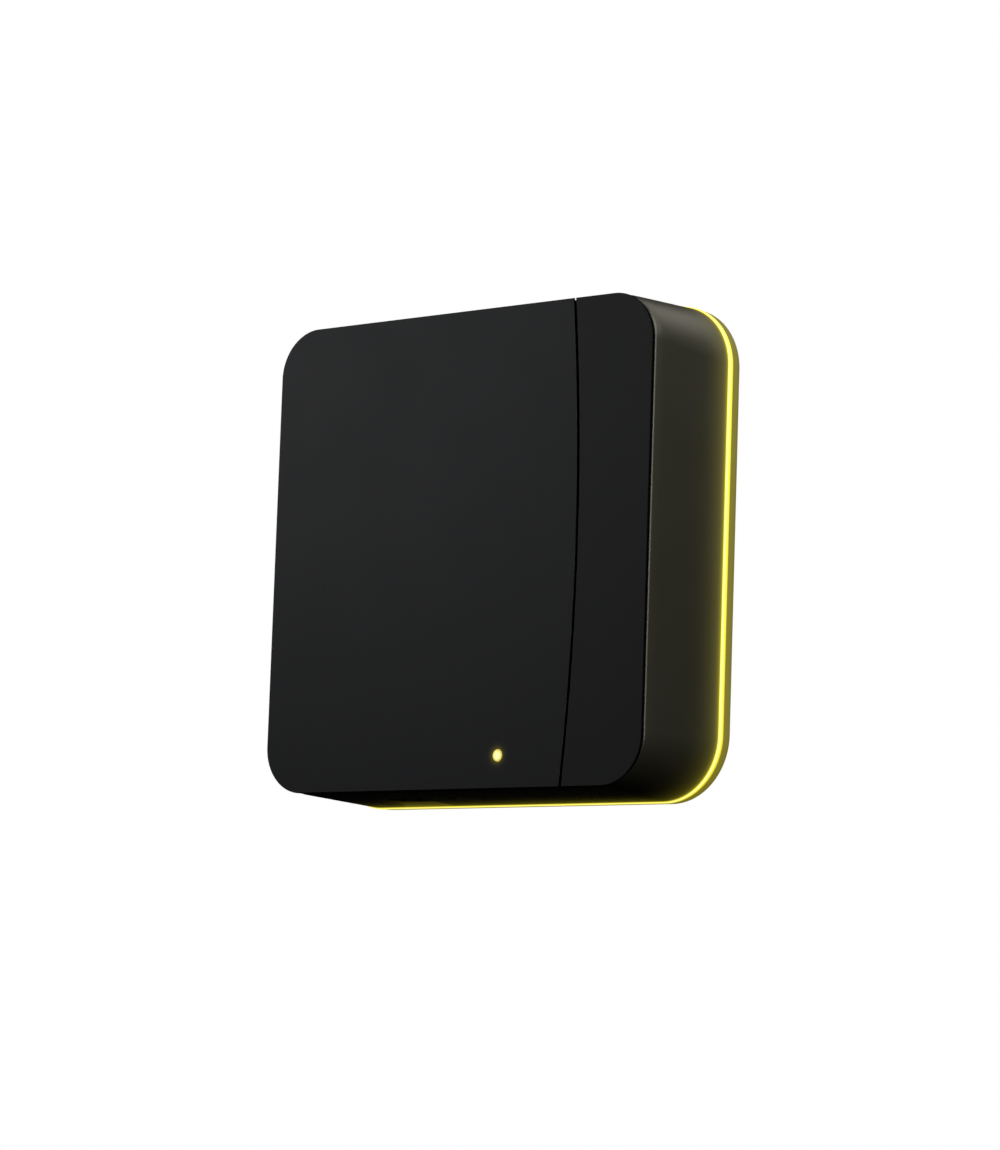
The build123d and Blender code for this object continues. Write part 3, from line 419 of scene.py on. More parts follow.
def main_cover_finish():
    """Satin black, with painted shade on its edge and the status light's glow painted round its hole."""
    colours = bpy.context.scene.hub_colours
    finish = moulded("main_cover_satin", colours.main_cover, roughness=0.40)
    paint_gap_shade(finish, cover_edge_shade(finish))
    away = (finish.off_axis((PIPE_LOW + PIPE_HIGH) / 2) - PIPE_RADIUS).math("MAXIMUM", 0)
    # painted glow of the status light on the cover round its hole
    halo = (away / 0.45).decay() * 0.09
    finish.set("Emission Color", finish.tint(tuple(colours.glow), halo))
    finish.set("Emission Strength", 1.0)
    return finish.material


def service_cover_finish():
    """The same satin, a shade more neutral, with painted shade on its edge."""
    colours = bpy.context.scene.hub_colours
    finish = moulded("service_cover_satin", colours.service_cover, roughness=0.44)
    paint_gap_shade(finish, cover_edge_shade(finish))
    return finish.material


def housing_finish():
    """Warm grey with the ring's light painted on at its wall end, and painted shade on the rim's edge in the
    gap under the covers.
    """
    settings = bpy.context.scene.hub_glow
    finish = moulded("housing_satin", bpy.context.scene.hub_colours.housing, roughness=0.38,
                     painted_light=painted_ring_tone, Specular_Tint=(1.0, 0.99, 0.86))
    painted_ring_glow(finish, settings.housing_strength, settings.housing_reach, settings.halo_strength)
    _, y, _ = finish.axes()
    paint_gap_shade(finish, ((HOUSING_LOW.y + 0.36 - y) / 0.12).clamp())     # painted shade on the rim's first third of a millimetre
    return finish.material


def back_cover_finish():
    """Warm grey with the ring's light painted on its edge."""
    settings = bpy.context.scene.hub_glow
    finish = moulded("back_cover_satin", bpy.context.scene.hub_colours.housing, roughness=0.45,
                     painted_light=painted_ring_tone)
    painted_ring_glow(finish, settings.back_strength, settings.back_reach, 0.0)
    return finish.material


def ring_finish():
    """Diffusing acrylic: near white along its front half, deeper and dimmer yellow to the back."""
    colours = bpy.context.scene.hub_colours
    finish = Finish("ring_acrylic", Roughness=0.55, Base_Color=(0.45, 0.40, 0.04))
    _, y, _ = finish.axes()
    along = (y - RING_LOW.y) / (2 * RING_HALF)
    cloud = finish.noise(2.5 * MM, detail=2.0)
    yellow = finish.mix(((along - 0.24) * 4).clamp() + (1 - along * 6).clamp(),
                        tuple(colours.light_core), tuple(colours.light_middle))
    back = ((along - 0.42) * 1.8 + (cloud - 0.5) * 0.10).clamp()
    shaded = finish.mix(back, yellow, tuple(colours.light_edge))
    finish.set("Emission Color", shaded)
    finish.set("Emission Strength", bpy.context.scene.hub_glow.ring_strength)
    return finish.material


def status_finish():
    """Clear light pipe, brightest at its middle."""
    colours = bpy.context.scene.hub_colours
    finish = Finish("status_acrylic", Roughness=0.2, Base_Color=(0.8, 0.75, 0.4))
    off = finish.off_axis((PIPE_LOW + PIPE_HIGH) / 2) / PIPE_RADIUS
    finish.set("Emission Color",
               finish.mix((off * 1.3 - 0.3).clamp(), tuple(colours.light_core), tuple(colours.light_edge)))
    finish.set("Emission Strength", bpy.context.scene.hub_glow.status_strength)
    return finish.material


def metal(name, colour, roughness=0.3, stretch=(1, 1, 1), grain=0.2 * MM):
    """Bare or plated metal with fine lines or a fine mottle."""
    finish = Finish(name, Metallic=1.0)
    lines = finish.noise(grain, detail=2.0, stretch=stretch)
    cloud = finish.noise(3 * MM, detail=3.0)
    finish.set("Base Color", finish.mix(cloud, shade(colour, 0.86), shade(colour, 1.08)))
    finish.set("Roughness", roughness + (lines - 0.5) * 0.22 + (cloud - 0.5) * 0.08)
    finish.bump(lines, 0.15, 0.01 * MM)
    return finish.material


def powder_coat(name, colour):
    """Baked powder with a fine orange peel."""
    finish = Finish(name)
    orange_peel = finish.noise(0.5 * MM, detail=2.0)
    finish.set("Base Color", finish.mix(orange_peel, shade(colour, 0.85), shade(colour, 1.15)))
    finish.set("Roughness", 0.5 + (orange_peel - 0.5) * 0.2)
    finish.bump(orange_peel, 0.5, 0.02 * MM)
    return finish.material


def board_finish(name, mask, copper):
    """Solder mask over copper: raised tracks, pads and a fine resin texture."""
    finish = Finish(name, Coat_Weight=0.4, Coat_Roughness=0.2)
    cells = finish.node("ShaderNodeTexVoronoi", {"feature": "F1", "distance": "MANHATTAN"},
                        {"Vector": finish.stretched((1, 0, 1)), "Scale": TRACK_CELLS})
    raised = (cells * TRACKS).math("FRACT") > 0.55
    resin = finish.noise(0.3 * MM, detail=2.0)
    finish.set("Base Color", finish.mix(raised * 0.55 + resin * 0.2, mask, copper))
    finish.set("Roughness", 0.35 + resin * 0.15)
    finish.bump(raised, 0.4, 0.03 * MM)
    return finish.material


def rubber(name, colour):
    """Matt rubber with open pores."""
    finish = Finish(name)
    pores = finish.noise(0.25 * MM, detail=3.0)
    finish.set("Base Color", finish.mix(pores, shade(colour, 0.8), shade(colour, 1.2)))
    finish.set("Roughness", 0.75 + (pores - 0.5) * 0.2)
    finish.bump(pores, 0.6, 0.03 * MM)
    return finish.material


def phosphor_finish():
    """A lamp's yellow phosphor window, brighter at its middle."""
    finish = Finish("lamp_phosphor", Roughness=0.3)
    grain = finish.noise(0.15 * MM, detail=2.0)
    finish.set("Base Color", finish.mix(grain, (0.80, 0.62, 0.10), (0.90, 0.76, 0.20)))
    finish.set("Emission Color", finish.mix(grain, (0.95, 0.70, 0.05), (1.0, 0.85, 0.20)))
    finish.set("Emission Strength", 0.8)
    return finish.material


def window_finish():
    """The jack's two indicator windows, green at the left and amber at the right."""
    finish = Finish("indicator_windows", Roughness=0.18, Coat_Weight=0.3)
    low, high = box_of("network_jack")
    x, _, _ = finish.axes()
    cloud = finish.noise(0.6 * MM, detail=2.0)
    side = x > (low.x + high.x) / 2
    green = finish.mix(cloud, (0.02, 0.16, 0.04), (0.04, 0.26, 0.07))
    amber = finish.mix(cloud, (0.34, 0.15, 0.01), (0.46, 0.23, 0.02))
    finish.set("Base Color", finish.mix(side, green, amber))
    return finish.material


def film_finish():
    """White ribbon film with its conductors showing through."""
    finish = Finish("ribbon_film", Roughness=0.32)
    x, _, _ = finish.axes()
    stripe = (x * 2).math("FRACT") > 0.5
    haze = finish.noise(0.8 * MM, detail=2.0)
    finish.set("Base Color", finish.mix(stripe * 0.7 + haze * 0.3, (0.72, 0.72, 0.74), (0.46, 0.48, 0.52)))
    finish.bump(stripe, 0.3, 0.03 * MM)
    return finish.material


# ------------------------------------------------------------------------------ mesh helpers
def shape_of(node):
    """A welded copy of a CAD node's mesh, in millimetres."""
    bm = bmesh.new()
    bm.from_mesh(frame["nodes"][node].data)
    bmesh.ops.scale(bm, verts=bm.verts, vec=(1 / MM, 1 / MM, 1 / MM))
    bmesh.ops.remove_doubles(bm, verts=bm.verts, dist=WELD)
    return bm


class Skin:
    """The casing's flared outside: says how far in a point lies, and the surface's normal there."""

    def __init__(self, reach, front=None, back=None, proud=0.0, curl=0.0):
        self.reach = reach      # points further in than this aren't on the skin
        self.front = front      # front plane's distance from the wall, and the round that leads to it
        self.back = back        # the same for the back plane
        self.proud = proud
        self.curl = curl        # how far the sides curl in below the front plane

    def radial(self, point):
        """Unit vector across the hub from a corner's centre, or from the side's, and its length."""
        behind = DEPTH + point.y
        straight = HALF_FACE - CORNER_FACE + (FLARE_RATE - CORNER_RATE) * behind
        across = Vector((point.x - max(-straight, min(straight, point.x)),
                         point.z - max(-straight, min(straight, point.z))))
        if across.length == 0:
            return Vector((0, 0)), 0.0
        return across.normalized(), across.length

    def inset(self, point):
        _, length = self.radial(point)
        return CORNER_FACE + CORNER_RATE * (DEPTH + point.y) + self.proud - length

    def lean(self, point):
        """Sine of the normal's lean to the front, inside the rounds; None on the plain side."""
        height = -point.y
        for plane, way in ((self.front, 1), (self.back, -1)):
            if plane:
                level, radius = plane
                past = 1 - (level - height) * way / radius
                if past > self.steepest:
                    return way * min(1, past)
        return None

    @property
    def steepest(self):
        """Where the front round takes over from the side."""
        return FLARE_RATE + 2 * self.curl / CURL_LENGTH if self.curl else FLARE_RATE

    def normal(self, point):
        across, _ = self.radial(point)
        lean = self.lean(point)
        if lean is not None:
            flat = math.sqrt(1 - lean * lean)
            return Vector((across.x * flat, -lean, across.y * flat))
        slope = CORNER_RATE + (FLARE_RATE - CORNER_RATE) * (abs(across.x) + abs(across.y))
        if self.curl:
            below = self.front[0] + point.y
            slope += 2 * self.curl / CURL_LENGTH * max(0, 1 - below / CURL_LENGTH)
        return Vector((across.x, -slope, across.y)).normalized()


def even_normals(bm, skin=None):
    """One normal for each corner of each face: the skin's own, or the larger faces' mean."""
    normals = []
    crease = math.cos(SHARP)
    for face in bm.faces:
        on_skin = skin and all(skin.inset(vert.co) < skin.reach for vert in face.verts)
        for loop in face.loops:
            if on_skin:
                normals.append(skin.normal(loop.vert.co))
                continue
            total = Vector()
            for other in loop.vert.link_faces:
                if other.normal.dot(face.normal) > crease:
                    total += other.normal * other.calc_area()
            normals.append(total.normalized() if total.length else face.normal)
    return normals


def add_piece(name, bm, material, body, replaces=(), skin=None):
    """Makes an object of a bmesh, with evenly shaded faces, and hands it to the frame."""
    bm.normal_update()
    normals = even_normals(bm, skin)
    bmesh.ops.scale(bm, verts=bm.verts, vec=(MM, MM, MM))
    mesh = bpy.data.meshes.new(name)
    bm.to_mesh(mesh)
    bm.free()
    mesh.materials.append(material)
    mesh.shade_smooth()
    mesh.normals_split_custom_set(normals)
    piece = bpy.data.objects.new(name, mesh)
    bpy.context.scene.collection.objects.link(piece)
    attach(piece, body)
    if replaces:
        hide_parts(*replaces)
    return piece


# ------------------------------------------------------------------------------ building shapes
OUT, INTO = Vector((0, -1, 0)), Vector((0, 1, 0))   # away from the wall and towards it


def axis_at(low, high, y):
    """The point at depth y on the axis of a part that fills a box."""
    return Vector(((low.x + high.x) / 2, y, (low.z + high.z) / 2))


def fresh(bm, known):
    """The vertices made since the set of known ones was taken."""
    return [vert for vert in bm.verts if vert not in known]


def edges_of(verts):
    """The edges that meet at some vertices, in order."""
    return list(dict.fromkeys(edge for vert in verts for edge in vert.link_edges))


def faces_of(verts):
    """The faces that meet at some vertices, in order."""
    return list(dict.fromkeys(face for vert in verts for face in vert.link_faces))


def close_up(bm, verts):
    """Merges doubles and turns the faces of a newly made shape outwards."""
    faces = faces_of(verts)
    bmesh.ops.remove_doubles(bm, verts=verts, dist=WELD)
    bmesh.ops.recalc_face_normals(bm, faces=[face for face in faces if face.is_valid])


def round_edges(bm, edges, offset, segments=2):
    """Rounds some edges of a shape."""
    bmesh.ops.bevel(bm, geom=list(edges), offset=offset, offset_type="OFFSET", affect="EDGES",
                    segments=segments, profile=0.5, material=-1, clamp_overlap=True)


def brick(bm, low, high, rounding=0.0, segments=2, along=None):
    """A box between two corners, with all its edges rounded or only those along one axis."""
    low, high = Vector(low), Vector(high)
    made = bmesh.ops.create_cube(bm, size=1)["verts"]
    bmesh.ops.scale(bm, verts=made, vec=high - low)
    bmesh.ops.translate(bm, verts=made, vec=(low + high) / 2)
    edges = edges_of(made)
    if along is not None:
        edges = [edge for edge in edges
                 if abs((edge.verts[0].co - edge.verts[1].co).normalized()[along]) > 0.99]
    if rounding:
        round_edges(bm, edges, rounding, segments)


def plate(bm, centre, size, rounding=0.0, segments=2, along=None):
    """A box given by its centre and its size."""
    centre, half = Vector(centre), Vector(size) / 2
    brick(bm, centre - half, centre + half, rounding, segments, along)


def place(bm, verts, centre, way):
    """Turns what was made along z to point another way, and moves it there."""
    turn = Vector((0, 0, 1)).rotation_difference(way).to_matrix()
    bmesh.ops.rotate(bm, verts=verts, cent=(0, 0, 0), matrix=turn)
    bmesh.ops.translate(bm, verts=verts, vec=centre)


def lathe(bm, profile, steps):
    """Spins (radius, height) pairs about z."""
    verts = [bm.verts.new((radius, 0, height)) for radius, height in profile]
    edges = [bm.edges.new(pair) for pair in zip(verts, verts[1:])]
    bmesh.ops.spin(bm, geom=verts + edges, cent=(0, 0, 0), axis=(0, 0, 1), angle=math.tau,
                   steps=steps, use_merge=True)


def turned(bm, profile, centre, way=OUT, steps=40):
    """A turned solid about an axis that points a given way."""
    known = set(bm.verts)
    lathe(bm, profile, steps)
    close_up(bm, fresh(bm, known))
    place(bm, fresh(bm, known), centre, way)


def rounded_disc(radius, low, high, rounding):
    """The profile of a disc with rounded edges."""
    turn = rounding * (1 - math.sqrt(0.5))
    return [(0, low), (radius - rounding, low), (radius - turn, low + turn), (radius, low + rounding),
            (radius, high - rounding), (radius - turn, high - turn), (radius - rounding, high), (0, high)]


def wire(bm, points, radius, steps=4):
    """A bent round wire through a few points."""
    curve = bpy.data.curves.new("wire", "CURVE")
    curve.dimensions = "3D"
    curve.bevel_depth = radius
    curve.bevel_resolution = steps
    curve.use_fill_caps = True
    spline = curve.splines.new("NURBS")
    spline.points.add(len(points) - 1)
    for point, spot in zip(spline.points, points):
        point.co = (*spot, 1)
    spline.order_u = 3
    spline.use_endpoint_u = True
    holder = bpy.data.objects.new("wire", curve)
    mesh = bpy.data.meshes.new_from_object(holder)
    bm.from_mesh(mesh)
    for block, data in ((holder, bpy.data.objects), (curve, bpy.data.curves), (mesh, bpy.data.meshes)):
        data.remove(block)


def solids(node):
    """Lowest and highest corner of each separate solid in a node, in millimetres, left to right."""
    bm = shape_of(node)
    left = set(bm.verts)
    boxes = []
    while left:
        stack = [left.pop()]
        group = []
        while stack:
            vert = stack.pop()
            group.append(vert.co.copy())
            linked = {edge.other_vert(vert) for edge in vert.link_edges} & left
            left -= linked
            stack.extend(linked)
        boxes.append((Vector([min(co[i] for co in group) for i in range(3)]),
                      Vector([max(co[i] for co in group) for i in range(3)])))
    bm.free()
    return sorted(boxes, key=lambda box: (round(box[0].x, 3), round(box[0].z, 3), round(box[0].y, 3)))


# ------------------------------------------------------------------------------ fasteners and fittings
def screw(bm, head_top, way, length, radius, head_radius, head, drive):
    """A pan-head screw with a six-lobe recess and a helical thread; the head points the given way."""
    known = set(bm.verts)
    core, steps = radius * 0.86, 36
    dome = [(head_radius * math.cos(a), head * (0.45 + 0.55 * math.sin(a)))
            for a in (0, 0.25, 0.5, 0.75, 1.0)]
    profile = [(0, -length), (core * 0.7, -length), (core, -length + 0.35), (core, 0),
               (head_radius * 0.96, 0), *dome, (head_radius * 0.45, head)]
    lathe(bm, profile, steps)
    bmesh.ops.remove_doubles(bm, verts=fresh(bm, known), dist=WELD)
    rim = [edge for edge in edges_of(fresh(bm, known)) if edge.is_boundary]
    lobes = bmesh.ops.create_circle(bm, cap_ends=False, segments=steps, radius=1)["verts"]
    for vert in lobes:
        swell = 0.86 + 0.14 * math.cos(6 * math.atan2(vert.co.y, vert.co.x))
        vert.co = Vector((vert.co.x * drive * swell, vert.co.y * drive * swell, head))
    lobe_edges = edges_of(lobes)
    bmesh.ops.bridge_loops(bm, edges=rim + lobe_edges)
    sunk = bmesh.ops.extrude_edge_only(bm, edges=lobe_edges)["geom"]
    floor = [item for item in sunk if isinstance(item, bmesh.types.BMVert)]
    bmesh.ops.translate(bm, verts=floor, vec=(0, 0, -head * 0.6))
    bmesh.ops.contextual_create(bm, geom=[item for item in sunk if isinstance(item, bmesh.types.BMEdge)])
    close_up(bm, fresh(bm, known))
    thread(bm, core, radius, -length + 0.4, -0.25)
    place(bm, fresh(bm, known), head_top - way * head, way)


def thread(bm, core, radius, low, high, steps=20):
    """A helical ridge round a core, along z."""
    known = set(bm.verts)
    turns = (high - low - THREAD_PITCH) / THREAD_PITCH
    start = [bm.verts.new((r, 0, low + h * THREAD_PITCH))
             for r, h in ((core - 0.05, 0), (radius, 0.42), (radius, 0.55), (core - 0.05, 0.95))]
    edges = [bm.edges.new(pair) for pair in zip(start, start[1:] + start[:1])]
    bm.faces.new(start)
    spun = bmesh.ops.spin(bm, geom=start + edges, cent=(0, 0, 0), axis=(0, 0, 1),
                          angle=math.tau * turns, dvec=(0, 0, THREAD_PITCH / steps), steps=int(steps * turns))
    end = [item for item in spun["geom_last"] if isinstance(item, bmesh.types.BMEdge)]
    bmesh.ops.contextual_create(bm, geom=end)
    close_up(bm, fresh(bm, known))


def fit_screws(name, node, kind, way, material):
    """Detailed screws in the places of a node's plain ones."""
    bm = bmesh.new()
    for low, high in solids(node):
        top = axis_at(low, high, high.y if way.y > 0 else low.y)
        screw(bm, top, way, high.y - low.y - kind["head"], **kind)
    add_piece(name, bm, material, "hub", [node])


def knurled_inserts(material):
    """Brass inserts: two knurled bands with a groove between them, and a threaded bore."""
    bm = bmesh.new()
    for low, high in solids("housing_inserts"):
        radius, length = (high.x - low.x) / 2, high.y - low.y
        seat = axis_at(low, high, high.y)
        groove_low, groove_high = length * 0.44, length * 0.56
        ridges = [(INSERT_BORE + 0.18 * (i % 2), length * i / 12) for i in range(13)]
        turned(bm, [*ridges, (radius - 0.3, length), (radius - 0.1, length - 0.2),
                    (radius - 0.1, groove_high), (radius - 0.35, groove_high),
                    (radius - 0.35, groove_low), (radius - 0.1, groove_low),
                    (radius - 0.1, 0.2), (radius - 0.3, 0), (INSERT_BORE, 0)], seat)
        for band_low, band_high in ((0.25, groove_low), (groove_high, length - 0.25)):
            known = set(bm.verts)
            for i in range(KNURLS):
                verts = bmesh.ops.create_cube(bm, size=1)["verts"]
                bmesh.ops.scale(bm, verts=verts, vec=(0.2, 0.2, band_high - band_low))
                bmesh.ops.rotate(bm, verts=verts, matrix=Matrix.Rotation(math.pi / 4, 3, "Z"))
                bmesh.ops.translate(bm, verts=verts, vec=(radius - 0.14, 0, (band_low + band_high) / 2))
                bmesh.ops.rotate(bm, verts=verts, matrix=Matrix.Rotation(math.tau * i / KNURLS, 3, "Z"))
            place(bm, fresh(bm, known), seat, OUT)
    add_piece("knurled_inserts", bm, material, "hub", ["housing_inserts"])


def studs(material):
    """Turned studs: a riveted foot, a plain neck and a domed head."""
    bm = bmesh.new()
    for low, high in solids("hanging_studs"):
        tall = high.y - low.y
        dome = [(4.0 * math.cos(a), tall - 1.1 + 1.1 * math.sin(a)) for a in (0.35, 0.7, 1.0, 1.25)]
        turned(bm, [(0, 0.12), (1.1, 0.12), (1.3, 0), (2.9, 0), (3.2, 0.3), (3.2, 0.8), (2.0, 0.8),
                    (2.0, tall - 1.4), (3.8, tall - 1.4), (4.0, tall - 1.2), *dome,
                    (0.8, tall - 0.02), (0.6, tall - 0.12), (0, tall - 0.12)],
               axis_at(low, high, 0), steps=48)
    add_piece("turned_studs", bm, material, "wall_bracket", ["hanging_studs"])


def discs(name, node, material, body):
    """Plated disc magnets with rounded edges."""
    bm = bmesh.new()
    for low, high in solids(node):
        turned(bm, rounded_disc((high.x - low.x) / 2, 0, high.y - low.y, MAGNET_ROUND),
               axis_at(low, high, high.y), steps=48)
    add_piece(name, bm, material, body, [node])


def feet(material):
    """Rubber feet with two moulded grooves in the face that bears on the wall."""
    bm = bmesh.new()
    for low, high in solids("wall_feet"):
        radius, tall = (high.x - low.x) / 2, high.y - low.y
        grooves = [(start + across, depth) for start in FOOT_GROOVES for across, depth in GROOVE]
        turned(bm, [(0, 0), *grooves, (radius - 0.4, 0), (radius - 0.1, 0.1), (radius, 0.4),
                    (radius, tall), (0, tall)], axis_at(low, high, high.y), steps=48)
    add_piece("grooved_feet", bm, material, "hub", ["wall_feet"])


# ------------------------------------------------------------------------------ ports
def network_socket(shield_metal, plastic, gold, windows):
    """The jack: a black moulded body in a pressed shield, with bent contacts and two indicator windows."""
    low, high = box_of("network_jack")
    body = shape_of("network_jack")
    for vert in body.verts:
        for axis in (0, 1, 2):
            if abs(vert.co[axis] - low[axis]) < NEAR and axis != 2:
                vert.co[axis] += SHIELD_SKIN
            elif abs(vert.co[axis] - high[axis]) < NEAR:
                vert.co[axis] -= SHIELD_SKIN
    add_piece("jack_body", body, plastic, "hub")

    shield = bmesh.new()
    made = bmesh.ops.create_cube(shield, size=1)["verts"]
    bmesh.ops.scale(shield, verts=made, vec=high - low)
    bmesh.ops.translate(shield, verts=made, vec=(low + high) / 2)
    mouth = [face for face in shield.faces if face.calc_center_median().z < low.z + SHIELD_SKIN]
    bmesh.ops.delete(shield, geom=mouth, context="FACES_ONLY")
    round_edges(shield, [edge for edge in shield.edges if not edge.is_boundary], 0.5, 3)
    bmesh.ops.recalc_face_normals(shield, faces=shield.faces)
    bmesh.ops.solidify(shield, geom=shield.faces[:], thickness=SHIELD_SHEET)
    for side in (low.x, high.x):
        way = 1 if side == high.x else -1
        for level in (0.3, 0.7):
            y = low.y + (high.y - low.y) * level
            wire(shield, [(side + 0.02 * way, y, low.z + 8), (side + 0.1 * way, y, low.z + 5),
                          (side + 0.12 * way, y, low.z + 3), (side - 0.05 * way, y, low.z + 1)], 0.13)
    add_piece("jack_shield", shield, shield_metal, "hub", ["network_jack"])

    wires = bmesh.new()
    for start, end in solids("network_contacts"):
        x, roof = (start.x + end.x) / 2, start.y + 0.16
        wire(wires, [(x, roof, end.z), (x, roof, end.z - 3.5), (x, roof + 0.1, start.z + 3),
                     (x, roof + 1.9, start.z + 2.2), (x, roof + 2.6, end.z - 2.0)], 0.15)
    add_piece("jack_contacts", wires, gold, "hub", ["network_contacts"])

    lamps = bmesh.new()
    for side in (low.x + 1.9, high.x - 1.9):
        plate(lamps, (side, low.y + 1.15, low.z + 0.6), (2.4, 1.2, 1.3), 0.15, 2)
    add_piece("jack_windows", lamps, windows, "hub")


def power_socket(shell_metal, plastic, gold):
    """The inlet: a drawn shell with a rolled mouth, and a tongue with its contact pads."""
    shell = shape_of("power_inlet")
    low, high = box_of("power_inlet")
    for x in (low.x + 1.2, high.x - 1.2):
        for z in (low.z + 2.2, high.z - 1.4):
            plate(shell, (x, high.y - 0.1, z), (0.5, 0.2, 1.2), 0.05, 1)
    add_piece("inlet_shell", shell, shell_metal, "hub", ["power_inlet"])
    start, end = box_of("inlet_tongue")
    tongue = bmesh.new()
    brick(tongue, start, end, 0.16, 3)
    plate(tongue, ((low.x + high.x) / 2, (low.y + high.y) / 2, end.z - 0.35),
          (high.x - low.x - 2.6, high.y - low.y - 0.8, 0.7), 0.1, 2)
    add_piece("contact_tongue", tongue, plastic, "hub", ["inlet_tongue"])
    pads = bmesh.new()
    for i in range(TONGUE_PADS):
        x = (start.x + end.x) / 2 + (i - (TONGUE_PADS - 1) / 2) * TONGUE_PITCH
        for y in (start.y + 0.02, end.y - 0.02):
            plate(pads, (x, y, start.z + 1.9), (0.26, 0.06, 2.6))
    add_piece("tongue_pads", pads, gold, "hub")


# ------------------------------------------------------------------------------ buttons and switches
def button(name, material, cap_radius, dish):
    """A cap with a dished top over its flange and stem."""
    node = name + "_button"
    low, high = box_of(node)
    centre = axis_at(low, high, high.y)
    flange_radius, stem, flange = (high.x - low.x) / 2, 1.0, 1.0
    top = high.y - low.y
    hollow = [(cap_radius * share, top - dish * (1 - share ** 2)) for share in (0.84, 0.7, 0.5, 0.25, 0)]
    bm = bmesh.new()
    turned(bm, [(0, 0), (1.5, 0), (1.6, 0.1), (1.6, stem), (flange_radius - 0.1, stem),
                (flange_radius, stem + 0.1), (flange_radius, stem + flange), (cap_radius, stem + flange),
                (cap_radius, top - 0.4), (cap_radius - 0.05, top - 0.2), (cap_radius - 0.2, top - 0.05),
                (cap_radius * 0.92, top), (cap_radius * 0.88, top), *hollow], centre, steps=64)
    add_piece(name + "_cap", bm, material, node, [node])


def switch(name, base, steel, red):
    """A tactile switch: moulded base, pressed cover held by four rivets, bent legs and a plunger."""
    node, plunger = name + "_switch", name + "_switch_plunger"
    low, high = box_of(node)
    x, z = (low.x + high.x) / 2, (low.z + high.z) / 2
    add_piece(name + "_tactile_switch", shape_of(node), base, "hub", [node])
    cover = bmesh.new()
    turned(cover, [(1.75, 0), (2.5, 0), (2.5, 0.1), (2.4, 0.15), (1.85, 0.15), (1.75, 0.1), (1.75, 0)],
           Vector((x, low.y + 0.02, z)), steps=32)
    for way_x in (-1, 1):
        for way_z in (-1, 1):
            spot = Vector((x + way_x * 2.05, low.y + 0.04, z + way_z * 2.05))
            turned(cover, [(0.4, 0), (0.38, 0.1), (0.22, 0.2), (0, 0.22)], spot, steps=12)
            leg_x = x + way_x * 2.7
            brick(cover, (leg_x - 0.25, low.y + 0.7, spot.z - 0.3),
                  (leg_x + 0.25, high.y, spot.z + 0.3), 0.08, 1)
    add_piece(name + "_tactile_switch_cover", cover, steel, "hub")
    start, end = box_of(plunger)
    pin = bmesh.new()
    turned(pin, rounded_disc((end.x - start.x) / 2, 0, end.y - start.y, 0.15),
           Vector((x, end.y, z)), steps=32)
    add_piece(name + "_switch_pin", pin, red, name + "_button", [plunger])


# ------------------------------------------------------------------------------ boards and chips
def chip(bm, low, high):
    """A moulded package with soft edges and a round dimple by its first pin."""
    brick(bm, low, high, 0.15, 2)
    turned(bm, PIN_MARK, Vector((low.x + 1.4, low.y, high.z - 1.4)), steps=20)


def small_parts(name, rows, surface, side, body_material, tin):
    """Chip resistors and capacitors: bodies and their tinned ends.

    A row is its first part's x and z, the steps to the next, how many, and whether they stand upright.
    """
    bodies, ends = bmesh.new(), bmesh.new()
    length, width, tall = SMALL_PART
    for x, z, step_x, step_z, count, turned_up in rows:
        for i in range(count):
            size = (width, tall, length) if turned_up else (length, tall, width)
            centre = Vector((x + step_x * i, surface + side * tall / 2, z + step_z * i))
            plate(bodies, centre, size, 0.06, 1)
            along = Vector((0, 0, 1)) if turned_up else Vector((1, 0, 0))
            for way in (-1, 1):
                end = centre + along * (way * (length / 2 - 0.12))
                cap = (width + 0.04, tall + 0.04, 0.3) if turned_up else (0.3, tall + 0.04, width + 0.04)
                plate(ends, end, cap, 0.06, 1)
                plate(ends, (end.x, surface + side * 0.03, end.z), (cap[0] + 0.3, 0.04, cap[2] + 0.3))
    add_piece(name + "_bodies", bodies, body_material, "hub")
    add_piece(name + "_ends", ends, tin, "hub")


def leaded_chip(bodies, legs, centre, size, pins, side):
    """A small-outline chip with gull-wing legs on two sides."""
    x, surface, z = centre
    wide, tall, high = size
    y = surface + side * (tall / 2 + 0.1)
    plate(bodies, (x, y, z), (wide, tall, high), 0.15, 2)
    #             out from the body  up from the board  size
    bends = ((0.2, tall / 2, (0.5, 0.18, 0.35)),
             (0.4, tall / 4, (0.16, tall / 2, 0.35)),
             (0.75, 0.09, (0.7, 0.18, 0.35)))
    for i in range(pins):
        leg_z = z + (i - (pins - 1) / 2) * high / pins
        for way in (-1, 1):
            for out, up, bend in bends:
                plate(legs, (x + way * (wide / 2 + out), surface + side * up, leg_z), bend)


